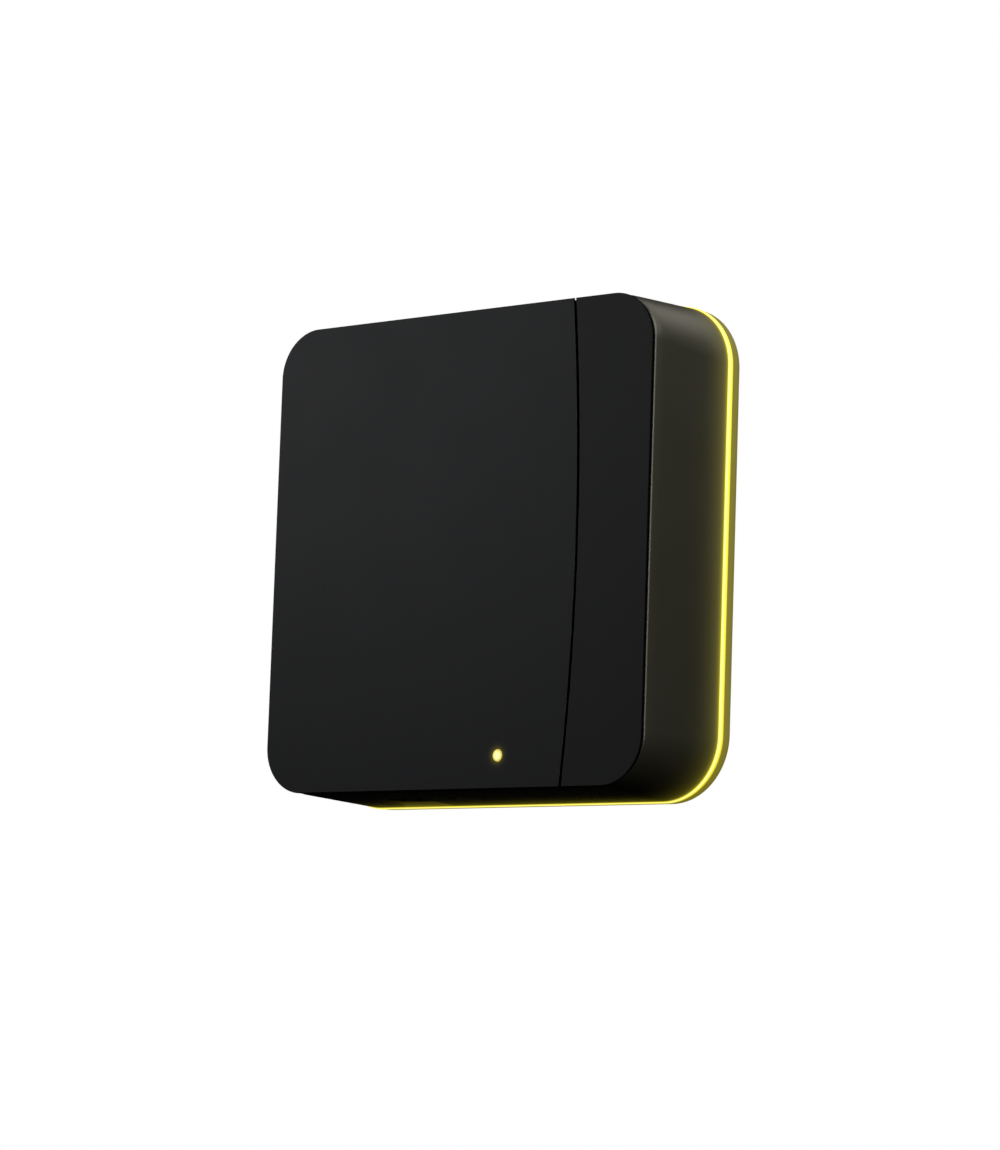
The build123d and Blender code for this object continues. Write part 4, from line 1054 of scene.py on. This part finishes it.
def circuit_boards(mask, white, tin, epoxy, ceramic, gold):
    """The main board with its small parts, and the halo board with its resistors."""
    low, high = box_of("main_board")
    front, back = low.y, high.y
    add_piece("main_circuit_board", shape_of("main_board"), mask, "hub", ["main_board"])
    can_low, can_high = box_of("shield_can")
    rows = [(can_low.x - 3, can_low.z + 2, 0, 3.0, 12, False),
            (can_high.x + 3, can_low.z + 26, 0, 2.4, 5, False),
            (can_low.x + 2, can_low.z - 3, 2.6, 0, 15, True),
            (can_low.x + 2, can_low.z - 6.5, 2.6, 0, 15, True),
            (-38, -30, 2.4, 0, 6, True), (20, -46, 2.4, 0, 4, True), (-36, 30, 0, 2.4, 4, False)]
    small_parts("front_small_parts", rows, front, -1, ceramic, tin)
    rows = [(-48, 0, 0, 2.6, 10, False), (-44, 4, 0, 2.6, 8, False), (36, -20, 0, 2.6, 12, False),
            (-20, 30, 2.4, 0, 9, True), (-8, -24, 2.4, 0, 8, True)]
    small_parts("back_small_parts", rows, back, 1, ceramic, tin)

    bodies, legs = bmesh.new(), bmesh.new()
    for x, z, surface, side in ((-40, -14, front, -1), (34, -34, front, -1), (-30, 6, back, 1),
                                (-10, -2, back, 1), (44, -20, back, 1)):
        leaded_chip(bodies, legs, (x, surface, z), SMALL_CHIP, 4, side)
    add_piece("power_chips", bodies, epoxy, "hub")
    add_piece("power_chip_legs", legs, tin, "hub")

    rings = bmesh.new()
    for start, end in solids("board_screws"):
        for surface, side in ((front, -1), (back, 1)):
            turned(rings, [(1.5, 0), (2.9, 0), (2.85, 0.04), (1.55, 0.04), (1.5, 0)],
                   axis_at(start, end, surface), Vector((0, side, 0)))
    for i in range(TEST_PADS):
        turned(rings, [(0, 0), (0.6, 0), (0.55, 0.04), (0, 0.04)],
               Vector((-20 + 2.2 * i, front, -34)), steps=16)
    add_piece("board_pads", rings, gold, "hub")

    add_piece("halo_circuit_board", shape_of("halo_board"), white, "hub",
              ["halo_board"])
    low, high = box_of("halo_board")
    rows = []
    for i in range(6):
        along = -32.5 + 13 * i
        rows += [(along - 0.8, side * (high.x - 3.4), 1.2, 0, 1, True) for side in (-1, 1)]
        rows += [(side * (high.x - 3.4), along - 0.8, 0, 1.2, 1, False) for side in (-1, 1)]
    small_parts("halo_small_parts", rows, low.y, -1, epoxy, tin)


def halo_lamps(package, phosphor, tin):
    """Side-firing lamps: a white package, a phosphor window on the side that faces the ring, two pads."""
    bodies, windows, pads = bmesh.new(), bmesh.new(), bmesh.new()
    for low, high in solids("halo_leds"):
        middle = (low + high) / 2
        brick(bodies, low, high, 0.08, 1)
        if abs(middle.x) > abs(middle.z):
            out = Vector((math.copysign((high.x - low.x) / 2, middle.x), 0, 0))
            size, across = (0.1, 0.9, 2.2), Vector((0, 0, 1.35))
        else:
            out = Vector((0, 0, math.copysign((high.z - low.z) / 2, middle.z)))
            size, across = (2.2, 0.9, 0.1), Vector((1.35, 0, 0))
        plate(windows, middle + out, size, 0.04, 1)
        for sign in (-1, 1):
            foot = middle + across * sign
            plate(pads, (foot.x, low.y + 0.05, foot.z), (0.6, 0.1, 0.6))
    add_piece("halo_lamps", bodies, package, "hub", ["halo_leds"])
    add_piece("halo_lamp_windows", windows, phosphor, "hub")
    add_piece("halo_lamp_pads", pads, tin, "hub")
    low, high = box_of("status_led")
    lamp = bmesh.new()
    brick(lamp, low, high, 0.1, 2)
    turned(lamp, [(0, 0), (0.45, 0), (0.42, 0.06), (0, 0.08)], axis_at(low, high, low.y), steps=24)
    add_piece("status_lamp", lamp, phosphor, "hub", ["status_led"])


def chips_and_cooling(epoxy, tin, pad, aluminium):
    """Processor, memory, their shield can, the soft pads and the heat spreader."""
    low, high = box_of("processor")
    package = bmesh.new()
    brick(package, low, (high.x, high.y - 0.45, high.z), 0.12, 2)
    brick(package, low + Vector((1.2, 0, 1.2)), high - Vector((1.2, 0.4, 1.2)), 0.2, 3)
    turned(package, [(0, 0), (0.4, 0), (0.38, 0.03), (0, 0.03)],
           Vector((low.x + 0.8, low.y, high.z - 0.8)), steps=16)
    add_piece("processor_package", package, epoxy, "hub", ["processor"])
    balls = bmesh.new()
    last = BALLS - 1
    for i in range(BALLS):
        for along, across in ((i, 0), (i, last), (0, i), (last, i)):
            spot = Vector((low.x + 0.75 + BALL_PITCH * along, high.y, low.z + 0.75 + BALL_PITCH * across))
            turned(balls, [(0.2, 0), (0.3, 0.2), (0.2, 0.4)], spot, steps=8)
    add_piece("processor_balls", balls, tin, "hub")
    memory = bmesh.new()
    for start, end in solids("memory_chips"):
        chip(memory, start, end)
    add_piece("memory_packages", memory, epoxy, "hub", ["memory_chips"])

    can = shape_of("shield_can")
    low, high = box_of("shield_can")
    for i in range(7):
        for x in (low.x + 0.02, high.x - 0.02):
            plate(can, (x, high.y - 0.5, low.z + 5 + 5 * i), (0.14, 0.7, 1.4), 0.05, 1)
        for z in (low.z + 0.02, high.z - 0.02):
            plate(can, (low.x + 6 + 5 * i, high.y - 0.5, z), (1.4, 0.7, 0.14), 0.05, 1)
    for x in (low.x + 4, high.x - 4):
        for z in (low.z + 4, high.z - 4):
            turned(can, [(0.7, 0.0), (1.1, 0.0), (1.05, 0.06), (0.75, 0.06), (0.7, 0.0)],
                   Vector((x, low.y, z)), steps=24)
    add_piece("pressed_can", can, tin, "hub", ["shield_can"])

    for name, node in (("processor_gap_pad", "chip_pad"), ("spreader_gap_pad", "spreader_pad")):
        soft = bmesh.new()
        low, high = box_of(node)
        brick(soft, low, high, min(0.3, (high.y - low.y) / 3), 3)
        add_piece(name, soft, pad, "hub", [node])

    spreader = shape_of("heat_spreader")
    low, high = box_of("heat_spreader")
    for i in range(SPREADER_RIBS):
        x = low.x + 13 + 4 * i
        brick(spreader, (x - 0.6, low.y - 0.25, low.z + 12), (x + 0.6, low.y + 0.2, high.z - 12),
              0.25, 3, along=2)
    add_piece("cooling_plate", spreader, aluminium, "hub", ["heat_spreader"])


def laid(along, y, across, sideways):
    """A place or size whose first value runs along a part: x if the part lies sideways, else z."""
    return Vector((along, y, across) if sideways else (across, y, along))


def radios(blue, tin, gold, copper, jacket):
    """Two radio modules with cans and edge pads, their printed aerials, leads and plugs."""
    for name, node, lead, aerial in (("wifi", "wifi_radio", "wifi_lead", "wifi_aerial"),
                                     ("mesh", "mesh_radio", "mesh_lead", "mesh_aerial")):
        low, high = box_of(node)
        centre = (low + high) / 2
        sideways = high.x - low.x > high.z - low.z
        board, can, pads = bmesh.new(), bmesh.new(), bmesh.new()
        brick(board, (low.x, high.y - RADIO_BOARD, low.z), high, 0.05, 1)
        middle = centre + laid(2.0 if sideways else -2.0, 0, 0, sideways)
        half = laid(6.1, 0, 5.7, sideways)
        brick(can, (middle.x - half.x, low.y, middle.z - half.z),
              (middle.x + half.x, high.y - RADIO_BOARD, middle.z + half.z), 0.3, 3)
        for i in range(4):
            for j in range(3):
                turned(can, [(0.3, -0.02), (0.5, 0.0), (0.46, 0.05), (0.34, 0.05), (0.3, -0.02)],
                       Vector((middle.x - 3.0 + 2.0 * i, low.y, middle.z - 2.0 + 2.0 * j)), steps=16)
        edge = (high.z - low.z if sideways else high.x - low.x) / 2 - 0.33
        for i in range(10):
            for way in (-1, 1):
                spot = axis_at(low, high, high.y - 0.41) + laid((i - 4.5) * 1.5, 0, way * edge, sideways)
                plate(pads, spot, laid(0.4, 0.86, 0.7, sideways))
        add_piece(name + "_module_board", board, blue, "hub")
        add_piece(name + "_module_can", can, tin, "hub", [node])
        add_piece(name + "_module_pads", pads, gold, "hub")
        printed_aerial(name, aerial, blue, copper)
        add_piece(name + "_coax", shape_of(lead), jacket, "hub", [lead])
        coax_plug(name, node, gold)


def coax_plug(name, node, gold):
    """A snap-on coaxial plug: a turned shell with a rolled lip over the radio's receptacle."""
    low, high = box_of(node)
    spot = axis_at(low, high, high.y - RADIO_BOARD)
    if high.x - low.x > high.z - low.z:
        spot.x = low.x + 2.6
    else:
        spot.z = high.z - 2.6
    plug = bmesh.new()
    turned(plug, [(0, 0.9), (0.7, 0.9), (0.7, 0), (1.45, 0), (1.5, 0.15), (1.38, 0.3), (1.38, 1.0),
                  (1.2, 1.22), (0.6, 1.26), (0, 1.26)], spot, steps=28)
    add_piece(name + "_plug", plug, gold, "hub")


def printed_aerial(name, node, blue, copper):
    """A thin laminate with a printed meander, on the side that faces the hub's middle."""
    low, high = box_of(node)
    board = bmesh.new()
    brick(board, low, high, 0.06, 1)
    add_piece(name + "_aerial_board", board, blue, "hub", [node])
    trace = bmesh.new()
    sideways = high.x - low.x >= high.z - low.z
    middle = (low + high) / 2
    if sideways:
        middle.z = low.z
    else:
        middle.x = low.x if middle.x > 0 else high.x
    step = AERIAL_TRACE / AERIAL_RUNS
    for i in range(AERIAL_RUNS + 1):
        along = -AERIAL_TRACE / 2 + AERIAL_TRACE * i / AERIAL_RUNS
        plate(trace, middle + laid(along, 0, 0, sideways), laid(0.6, AERIAL_SWING, 0.08, sideways))
        if i < AERIAL_RUNS:
            turn = middle + laid(along + step / 2, AERIAL_SWING / 2 * (1 if i % 2 else -1), 0, sideways)
            plate(trace, turn, laid(step + 0.1, 0.5, 0.08, sideways))
    add_piece(name + "_aerial_trace", trace, copper, "hub")


# ------------------------------------------------------------------------------ clock, power and ribbon
def clock_battery(steel, plastic, tin):
    """A coin cell with its crimped rim, in a holder with two spring clips."""
    low, high = box_of("clock_cell")
    centre = axis_at(low, high, high.y)
    radius, tall = (high.x - low.x) / 2, high.y - low.y
    cell = bmesh.new()
    turned(cell, [(0, tall), (radius - 0.6, tall), (radius - 0.1, tall - 0.15), (radius, tall - 0.5),
                  (radius, 0.5), (radius - 0.15, 0.25), (radius - 0.7, 0.2), (radius - 0.8, 0.32),
                  (radius - 1.1, 0.32), (radius - 1.3, 0.02), (0, 0.0)], centre, steps=72)
    add_piece("coin_cell", cell, steel, "hub", ["clock_cell"])
    add_piece("coin_cell_holder", shape_of("cell_holder"), plastic, "hub",
              ["cell_holder"])
    clips = bmesh.new()
    top = box_of("cell_holder")[1].y
    for way in (-1, 1):
        x = centre.x + way * (radius + 0.6)
        plate(clips, (x, centre.y - 1.0, centre.z), (0.35, 3.0, 5.0), 0.12, 2)
        plate(clips, (x - way * 1.2, max(centre.y, top) + 0.15, centre.z), (2.8, 0.3, 5.0), 0.12, 2)
    add_piece("cell_clips", clips, tin, "hub")


def power_parts(ferrite, can, black, tin):
    """The moulded inductor and the aluminium capacitors on their bases."""
    low, high = box_of("power_coil")
    coil = bmesh.new()
    brick(coil, low, high, 1.0, 4, along=1)
    round_edges(coil, [edge for edge in coil.edges if abs(edge.calc_face_angle(0)) > 1.2], 0.2)
    add_piece("power_inductor", coil, ferrite, "hub", ["power_coil"])
    ends = bmesh.new()
    for x in (low.x + 0.05, high.x - 0.05):
        plate(ends, (x, low.y + 0.9, (low.z + high.z) / 2), (0.2, 1.8, 3.0), 0.05, 1)
    add_piece("inductor_ends", ends, tin, "hub")

    cans, bases, marks = bmesh.new(), bmesh.new(), bmesh.new()
    for start, end in solids("capacitors"):
        radius, tall = (end.x - start.x) / 2, end.y - start.y
        base, top = axis_at(start, end, start.y), axis_at(start, end, end.y)
        wall = radius - 0.15
        turned(cans, [(0, CAPACITOR_BASE), (radius - 0.4, CAPACITOR_BASE), (wall, 1.1), (wall, 1.7),
                      (radius - 0.45, 2.0), (wall, 2.3), (wall, tall - 0.4), (radius - 0.5, tall - 0.05),
                      (radius - 0.8, tall), (0, tall)], base, INTO)
        vent = top - INTO * 0.04
        plate(cans, vent, (radius * 1.3, 0.12, 0.14))
        plate(cans, vent, (0.14, 0.12, radius * 1.3))
        side = 2 * radius - 0.04
        plate(bases, base + INTO * CAPACITOR_BASE / 2, (side, CAPACITOR_BASE, side), 1.0, 1, along=1)
        printed_mark(marks, radius, top - INTO * 0.03)
    add_piece("capacitor_cans", cans, can, "hub", ["capacitors"])
    add_piece("capacitor_bases", bases, black, "hub")
    add_piece("capacitor_marks", marks, black, "hub")


def printed_mark(bm, radius, spot):
    """The dark segment printed on a capacitor's top."""
    known = set(bm.verts)
    bmesh.ops.create_circle(bm, cap_ends=True, segments=40, radius=radius - 0.75)
    disc = fresh(bm, known)
    bmesh.ops.bisect_plane(bm, geom=[*disc, *edges_of(disc), *faces_of(disc)],
                           plane_co=(0, radius * 0.25, 0), plane_no=(0, -1, 0), clear_outer=True)
    raised = bmesh.ops.extrude_face_region(bm, geom=faces_of(fresh(bm, known)))["geom"]
    raised = [item for item in raised if isinstance(item, bmesh.types.BMVert)]
    bmesh.ops.translate(bm, verts=raised, vec=(0, 0, 0.03))
    close_up(bm, fresh(bm, known))
    place(bm, fresh(bm, known), spot, INTO)


def ribbon_and_sockets(socket_plastic, film, tin):
    """The flat ribbon between the two boards, with a latched socket at each end."""
    sockets = shape_of("ribbon_sockets")
    legs = bmesh.new()
    for start, end in solids("ribbon_sockets"):
        foot = start.y + 0.1 if start.y > -10 else end.y - 0.1
        for i in range(SOCKET_LEGS):
            x = start.x + 1.2 + i * (end.x - start.x - 2.4) / (SOCKET_LEGS - 1)
            plate(legs, (x, foot, end.z + 0.35), (0.3, 0.2, 0.7))
    add_piece("latched_sockets", sockets, socket_plastic, "hub", ["ribbon_sockets"])
    add_piece("socket_legs", legs, tin, "hub")
    low, high = box_of("halo_ribbon")
    ribbon = bmesh.new()
    brick(ribbon, low, high, 0.08, 2, along=1)
    add_piece("flat_ribbon", ribbon, film, "hub", ["halo_ribbon"])


# ------------------------------------------------------------------------------ operators
class HUB_OT_covers(bpy.types.Operator):
    """Build the main cover and the service cover"""

    bl_idname = "hub.covers"
    bl_label = "Covers"

    def execute(self, context):
        skin = Skin(reach=COVER_ROUND + NEAR, front=(DEPTH, COVER_ROUND))
        add_piece("front_cover", shape_of("main_cover"), main_cover_finish(), "hub",
                  ["main_cover"], skin)
        add_piece("side_service_cover", shape_of("service_cover"), service_cover_finish(),
                  "service_cover", ["service_cover"], skin)
        return {"FINISHED"}


class HUB_OT_casing(bpy.types.Operator):
    """Build the housing and the back cover"""

    bl_idname = "hub.casing"
    bl_label = "Casing"

    def execute(self, context):
        rim = (-HOUSING_LOW.y, RIM_ROUND)
        add_piece("flared_housing", shape_of("housing_shell"), housing_finish(), "hub",
                  ["housing_shell"],
                  Skin(reach=CURL + RIM_ROUND + NEAR, front=rim, curl=CURL))
        add_piece("rear_cover", shape_of("back_cover"), back_cover_finish(), "hub",
                  ["back_cover"],
                  Skin(reach=BACK_ROUND + NEAR, back=(-BACK_HIGH.y, BACK_ROUND)))
        return {"FINISHED"}


class HUB_OT_lights(bpy.types.Operator):
    """Build the ring of light and the status light"""

    bl_idname = "hub.lights"
    bl_label = "Lights"

    def execute(self, context):
        skin = Skin(reach=RING_ROUND + NEAR, front=(-RING_LOW.y, RING_ROUND),
                    back=(-RING_HIGH.y, RING_ROUND), proud=RING_PROUD)
        add_piece("ring_of_light", shape_of("light_guide"), ring_finish(), "hub",
                  ["light_guide"], skin)
        add_piece("status_light", shape_of("status_light_pipe"), status_finish(), "hub",
                  ["status_light_pipe"])
        return {"FINISHED"}


class HUB_OT_fasteners(bpy.types.Operator):
    """Build the screws, their inserts and the rubber feet"""

    bl_idname = "hub.fasteners"
    bl_label = "Fasteners and feet"

    def execute(self, context):
        zinc = metal("zinc_plate", (0.42, 0.42, 0.44), roughness=0.32)
        fit_screws("casing_screws", "housing_screws", CASING_SCREW, INTO, zinc)
        fit_screws("small_board_screws", "board_screws", BOARD_SCREW, INTO, zinc)
        fit_screws("small_spreader_screws", "spreader_screws", BOARD_SCREW, INTO, zinc)
        knurled_inserts(metal("brass", (0.70, 0.50, 0.22), roughness=0.28))
        feet(rubber("foot_rubber", (0.035, 0.035, 0.035)))
        return {"FINISHED"}


class HUB_OT_bracket(bpy.types.Operator):
    """Build the wall bracket and its studs"""

    bl_idname = "hub.bracket"
    bl_label = "Wall bracket"

    def execute(self, context):
        coat = powder_coat("bracket_coat", (0.045, 0.045, 0.045))
        add_piece("coated_bracket", shape_of("wall_bracket"), coat, "wall_bracket",
                  ["wall_bracket"])
        studs(metal("turned_steel", (0.52, 0.52, 0.54), roughness=0.25))
        return {"FINISHED"}


class HUB_OT_ports(bpy.types.Operator):
    """Build the network jack and the power inlet"""

    bl_idname = "hub.ports"
    bl_label = "Ports"

    def execute(self, context):
        shell = metal("plated_shell", (0.55, 0.55, 0.56), roughness=0.3)
        plastic = moulded("port_plastic", (0.012, 0.012, 0.013), roughness=0.5).material
        gold = metal("gold_plate", (0.85, 0.62, 0.25), roughness=0.22)
        network_socket(shell, plastic, gold, window_finish())
        power_socket(shell, plastic, gold)
        return {"FINISHED"}


class HUB_OT_service_bay(bpy.types.Operator):
    """Build the buttons, their switches and the magnets"""

    bl_idname = "hub.service_bay"
    bl_label = "Service bay"

    def execute(self, context):
        inside = context.scene.hub_inside
        grey = moulded("button_satin", inside.buttons, roughness=0.38).material
        base = moulded("switch_base", (0.012, 0.012, 0.012), roughness=0.55).material
        steel = metal("switch_steel", (0.60, 0.60, 0.60))
        red = moulded("plunger_plastic", inside.plungers, roughness=0.4).material
        button("pair", grey, inside.pair_radius / MM, inside.dish / MM)
        button("reset", grey, inside.reset_radius / MM, inside.dish / MM)
        for name in ("pair", "reset"):
            switch(name, base, steel, red)
        nickel = metal("nickel_plate", (0.66, 0.64, 0.60), roughness=0.18)
        discs("cover_disc_magnets", "cover_magnets", nickel, "service_cover")
        discs("keeper_disc_magnets", "keeper_magnets", nickel, "hub")
        return {"FINISHED"}


class HUB_OT_boards(bpy.types.Operator):
    """Build the boards, their small parts and the halo lamps"""

    bl_idname = "hub.boards"
    bl_label = "Boards and lamps"

    def execute(self, context):
        inside = context.scene.hub_inside
        tin = metal("solder_tin", (0.62, 0.62, 0.62), roughness=0.28)
        mask = board_finish("board_mask", inside.board_mask, shade(inside.board_mask, 2.2))
        white = board_finish("halo_board_mask", (0.62, 0.62, 0.60), (0.74, 0.74, 0.72))
        epoxy = moulded("chip_epoxy", (0.012, 0.012, 0.014), roughness=0.5).material
        ceramic = moulded("part_ceramic", (0.14, 0.08, 0.045), roughness=0.45).material
        gold = metal("pad_gold", (0.82, 0.60, 0.26), roughness=0.25)
        circuit_boards(mask, white, tin, epoxy, ceramic, gold)
        halo_lamps(moulded("lamp_package", (0.70, 0.69, 0.64)).material, phosphor_finish(), tin)
        return {"FINISHED"}


class HUB_OT_chips(bpy.types.Operator):
    """Build the processor, memory, shield can and heat spreader"""

    bl_idname = "hub.chips"
    bl_label = "Chips and cooling"

    def execute(self, context):
        chips_and_cooling(
            moulded("processor_epoxy", (0.014, 0.014, 0.016), roughness=0.46).material,
            metal("can_tin", (0.60, 0.60, 0.59), roughness=0.3),
            rubber("gap_pad", context.scene.hub_inside.gap_pads),
            metal("rolled_aluminium", (0.58, 0.58, 0.60), roughness=0.36, stretch=(1, 1, 0.06)))
        return {"FINISHED"}


class HUB_OT_radios(bpy.types.Operator):
    """Build the radio modules, aerials and leads"""

    bl_idname = "hub.radios"
    bl_label = "Radios and aerials"

    def execute(self, context):
        mask = context.scene.hub_inside.aerials
        blue = board_finish("aerial_mask", mask, shade(mask, 2.0))
        radios(blue, metal("module_tin", (0.62, 0.62, 0.61), roughness=0.3),
               metal("module_gold", (0.82, 0.60, 0.26), roughness=0.25),
               metal("trace_copper", (0.72, 0.38, 0.24), roughness=0.3),
               rubber("lead_jacket", (0.02, 0.02, 0.02)))
        return {"FINISHED"}


class HUB_OT_power(bpy.types.Operator):
    """Build the clock cell, the inductor, the capacitors and the ribbon"""

    bl_idname = "hub.power"
    bl_label = "Clock, power and ribbon"

    def execute(self, context):
        tin = metal("clip_tin", (0.60, 0.60, 0.60), roughness=0.28)
        black = moulded("holder_black", (0.016, 0.016, 0.016), roughness=0.5).material
        clock_battery(metal("cell_steel", (0.60, 0.60, 0.58), roughness=0.22), black, tin)
        aluminium = metal("can_aluminium", (0.66, 0.66, 0.68), roughness=0.3, stretch=(1, 0.05, 1))
        ferrite = moulded("ferrite", (0.035, 0.035, 0.038), roughness=0.6).material
        power_parts(ferrite, aluminium, black, tin)
        ribbon_and_sockets(moulded("socket_plastic", (0.55, 0.52, 0.42), roughness=0.45).material,
                           film_finish(), tin)
        return {"FINISHED"}


class HUB_OT_stage(bpy.types.Operator):
    """Set the floor, the lights and the camera"""

    bl_idname = "hub.stage"
    bl_label = "Stage"

    def execute(self, context):
        stage = context.scene.hub_stage
        middle = Vector(stage.aim)
        lay_floor(stage)
        set_world(context.scene)
        #          name            azimuth  height  distance  size          power  colour
        softbox("top_softbox", 170, 44, 0.9, (0.5, 0.5), 0.85, (1.0, 0.97, 0.86), middle)
        softbox("right_softbox", 103, 42, 0.5, (0.25, 0.25), 1.2, (1.0, 0.985, 0.90), middle)
        softbox("rim_softbox", 76, 16, 0.9, (0.11, 0.6), 4.1, (1.0, 1.0, 0.98), middle)
        softbox("overhead_softbox", 175, 76, 0.9, (0.3, 0.3), 0.5, (1.0, 1.0, 1.0), middle)
        softbox("left_softbox", -50, 19, 1.0, (0.6, 0.5), 0.82, (0.96, 0.98, 1.0), middle)
        softbox("low_softbox", -16, -22, 1.0, (0.7, 0.4), 0.6, (0.96, 0.98, 1.0), middle)
        softbox("rear_softbox", 246, 16, 1.1, (0.5, 0.6), 6.0, (1.0, 1.0, 1.0), middle)
        place_camera(context.scene, stage)
        return {"FINISHED"}


def lay_floor(stage):
    """A pale disc below the hub, seen only from above and left out of reflections."""
    bm = bmesh.new()
    bmesh.ops.create_circle(bm, cap_ends=True, segments=96, radius=FLOOR_RADIUS)
    bmesh.ops.translate(bm, verts=bm.verts, vec=(0, 0, -stage.floor_drop))
    mesh = bpy.data.meshes.new("floor")
    bm.to_mesh(mesh)
    bm.free()
    finish = Finish("floor_paint", Roughness=0.7)
    speckle = finish.noise(4 * MM, detail=3.0)
    finish.set("Base Color", finish.mix(speckle, (0.80, 0.80, 0.79), (0.84, 0.84, 0.83)))
    finish.set("Emission Color", (0.80, 0.80, 0.79))
    finish.set("Emission Strength", 0.62)
    finish.set("Alpha", 1 - finish.node("ShaderNodeNewGeometry", output="Backfacing"))
    mesh.materials.append(finish.material)
    floor = bpy.data.objects.new("floor", mesh)
    bpy.context.scene.collection.objects.link(floor)
    floor.visible_diffuse = False
    floor.visible_glossy = False


def set_world(scene):
    """White behind the hub, and a soft sky that is bright above and dark below to light it."""
    world = bpy.data.worlds.new("studio")
    scene.world = world
    world.use_nodes = True
    tree = world.node_tree
    background = tree.nodes["Background"]
    output = tree.nodes["World Output"]
    coordinates = tree.nodes.new("ShaderNodeTexCoord")
    split = tree.nodes.new("ShaderNodeSeparateXYZ")
    ramp = tree.nodes.new("ShaderNodeMapRange")
    for key, value in (("From Min", -0.35), ("From Max", 0.9), ("To Min", 0.02), ("To Max", 0.55)):
        ramp.inputs[key].default_value = value
    tree.links.new(coordinates.outputs["Generated"], split.inputs[0])
    tree.links.new(split.outputs["Z"], ramp.inputs["Value"])
    tree.links.new(ramp.outputs["Result"], background.inputs["Strength"])
    white = tree.nodes.new("ShaderNodeBackground")
    white.inputs["Color"].default_value = (1, 1, 1, 1)
    white.inputs["Strength"].default_value = 1.0
    seen = tree.nodes.new("ShaderNodeLightPath")
    mix = tree.nodes.new("ShaderNodeMixShader")
    tree.links.new(seen.outputs["Is Camera Ray"], mix.inputs[0])
    tree.links.new(background.outputs[0], mix.inputs[1])
    tree.links.new(white.outputs[0], mix.inputs[2])
    tree.links.new(mix.outputs[0], output.inputs["Surface"])


def direction(azimuth, elevation):
    """Unit vector to a place seen from the hub; azimuth 0 is straight in front, 90 to the right."""
    return Vector((math.sin(azimuth) * math.cos(elevation), -math.cos(azimuth) * math.cos(elevation),
                   math.sin(elevation)))


def softbox(name, azimuth, elevation, distance, size, power, colour, target):
    """A rectangular lamp that faces its target: angles in degrees, sizes in metres, power in watts."""
    light = bpy.data.lights.new(name, "AREA")
    light.shape = "RECTANGLE"
    light.size, light.size_y = size
    light.energy = power
    light.color = colour
    lamp = bpy.data.objects.new(name, light)
    bpy.context.scene.collection.objects.link(lamp)
    away = direction(math.radians(azimuth), math.radians(elevation))
    lamp.location = target + away * distance
    lamp.rotation_euler = away.to_track_quat("Z", "Y").to_euler()


def place_camera(scene, stage):
    """The camera, aimed and leaned as the stage's settings say."""
    data = bpy.data.cameras.new("camera")
    data.lens = stage.lens
    data.sensor_width = SENSOR
    data.clip_start = 0.01
    camera = bpy.data.objects.new("camera", data)
    scene.collection.objects.link(camera)
    away = direction(stage.azimuth, stage.elevation)
    turned = away.to_track_quat("Z", "Y") @ Matrix.Rotation(stage.roll, 4, "Z").to_quaternion()
    camera.matrix_world = Matrix.LocRotScale(Vector(stage.aim) + away * stage.distance, turned, None)
    scene.camera = camera
    scene.view_settings.view_transform = "Standard"


# ------------------------------------------------------------------------------ panel and start
class HUB_PT_panel(bpy.types.Panel):
    """Lists the hub's builders"""

    bl_label = "Smart home hub"
    bl_idname = "HUB_PT_panel"
    bl_space_type = "VIEW_3D"
    bl_region_type = "UI"
    bl_category = "Hub"

    def draw(self, context):
        for operator in OPERATORS:
            self.layout.operator(operator.bl_idname)
        for group in (getattr(context.scene, name) for name in GROUPS):
            box = self.layout.box()
            for name in group.bl_rna.properties.keys():
                if name not in ("rna_type", "name"):
                    box.prop(group, name)


GROUPS = {"hub_colours": HubColours, "hub_glow": HubGlow, "hub_inside": HubInside, "hub_stage": HubStage}
OPERATORS = (HUB_OT_stage, HUB_OT_covers, HUB_OT_casing, HUB_OT_lights, HUB_OT_bracket, HUB_OT_fasteners,
             HUB_OT_ports, HUB_OT_service_bay, HUB_OT_boards, HUB_OT_chips, HUB_OT_radios, HUB_OT_power)


def register():
    for name, group in GROUPS.items():
        bpy.utils.register_class(group)
        setattr(bpy.types.Scene, name, bpy.props.PointerProperty(type=group))
    for cls in (*OPERATORS, HUB_PT_panel):
        bpy.utils.register_class(cls)


def unregister():
    for cls in reversed((*OPERATORS, HUB_PT_panel)):
        bpy.utils.unregister_class(cls)
    for name, group in GROUPS.items():
        delattr(bpy.types.Scene, name)
        bpy.utils.unregister_class(group)


def main():
    register()
    for operator in OPERATORS:
        family, action = operator.bl_idname.split(".")
        getattr(getattr(bpy.ops, family), action)()


if __name__ == "__main__":
    main()
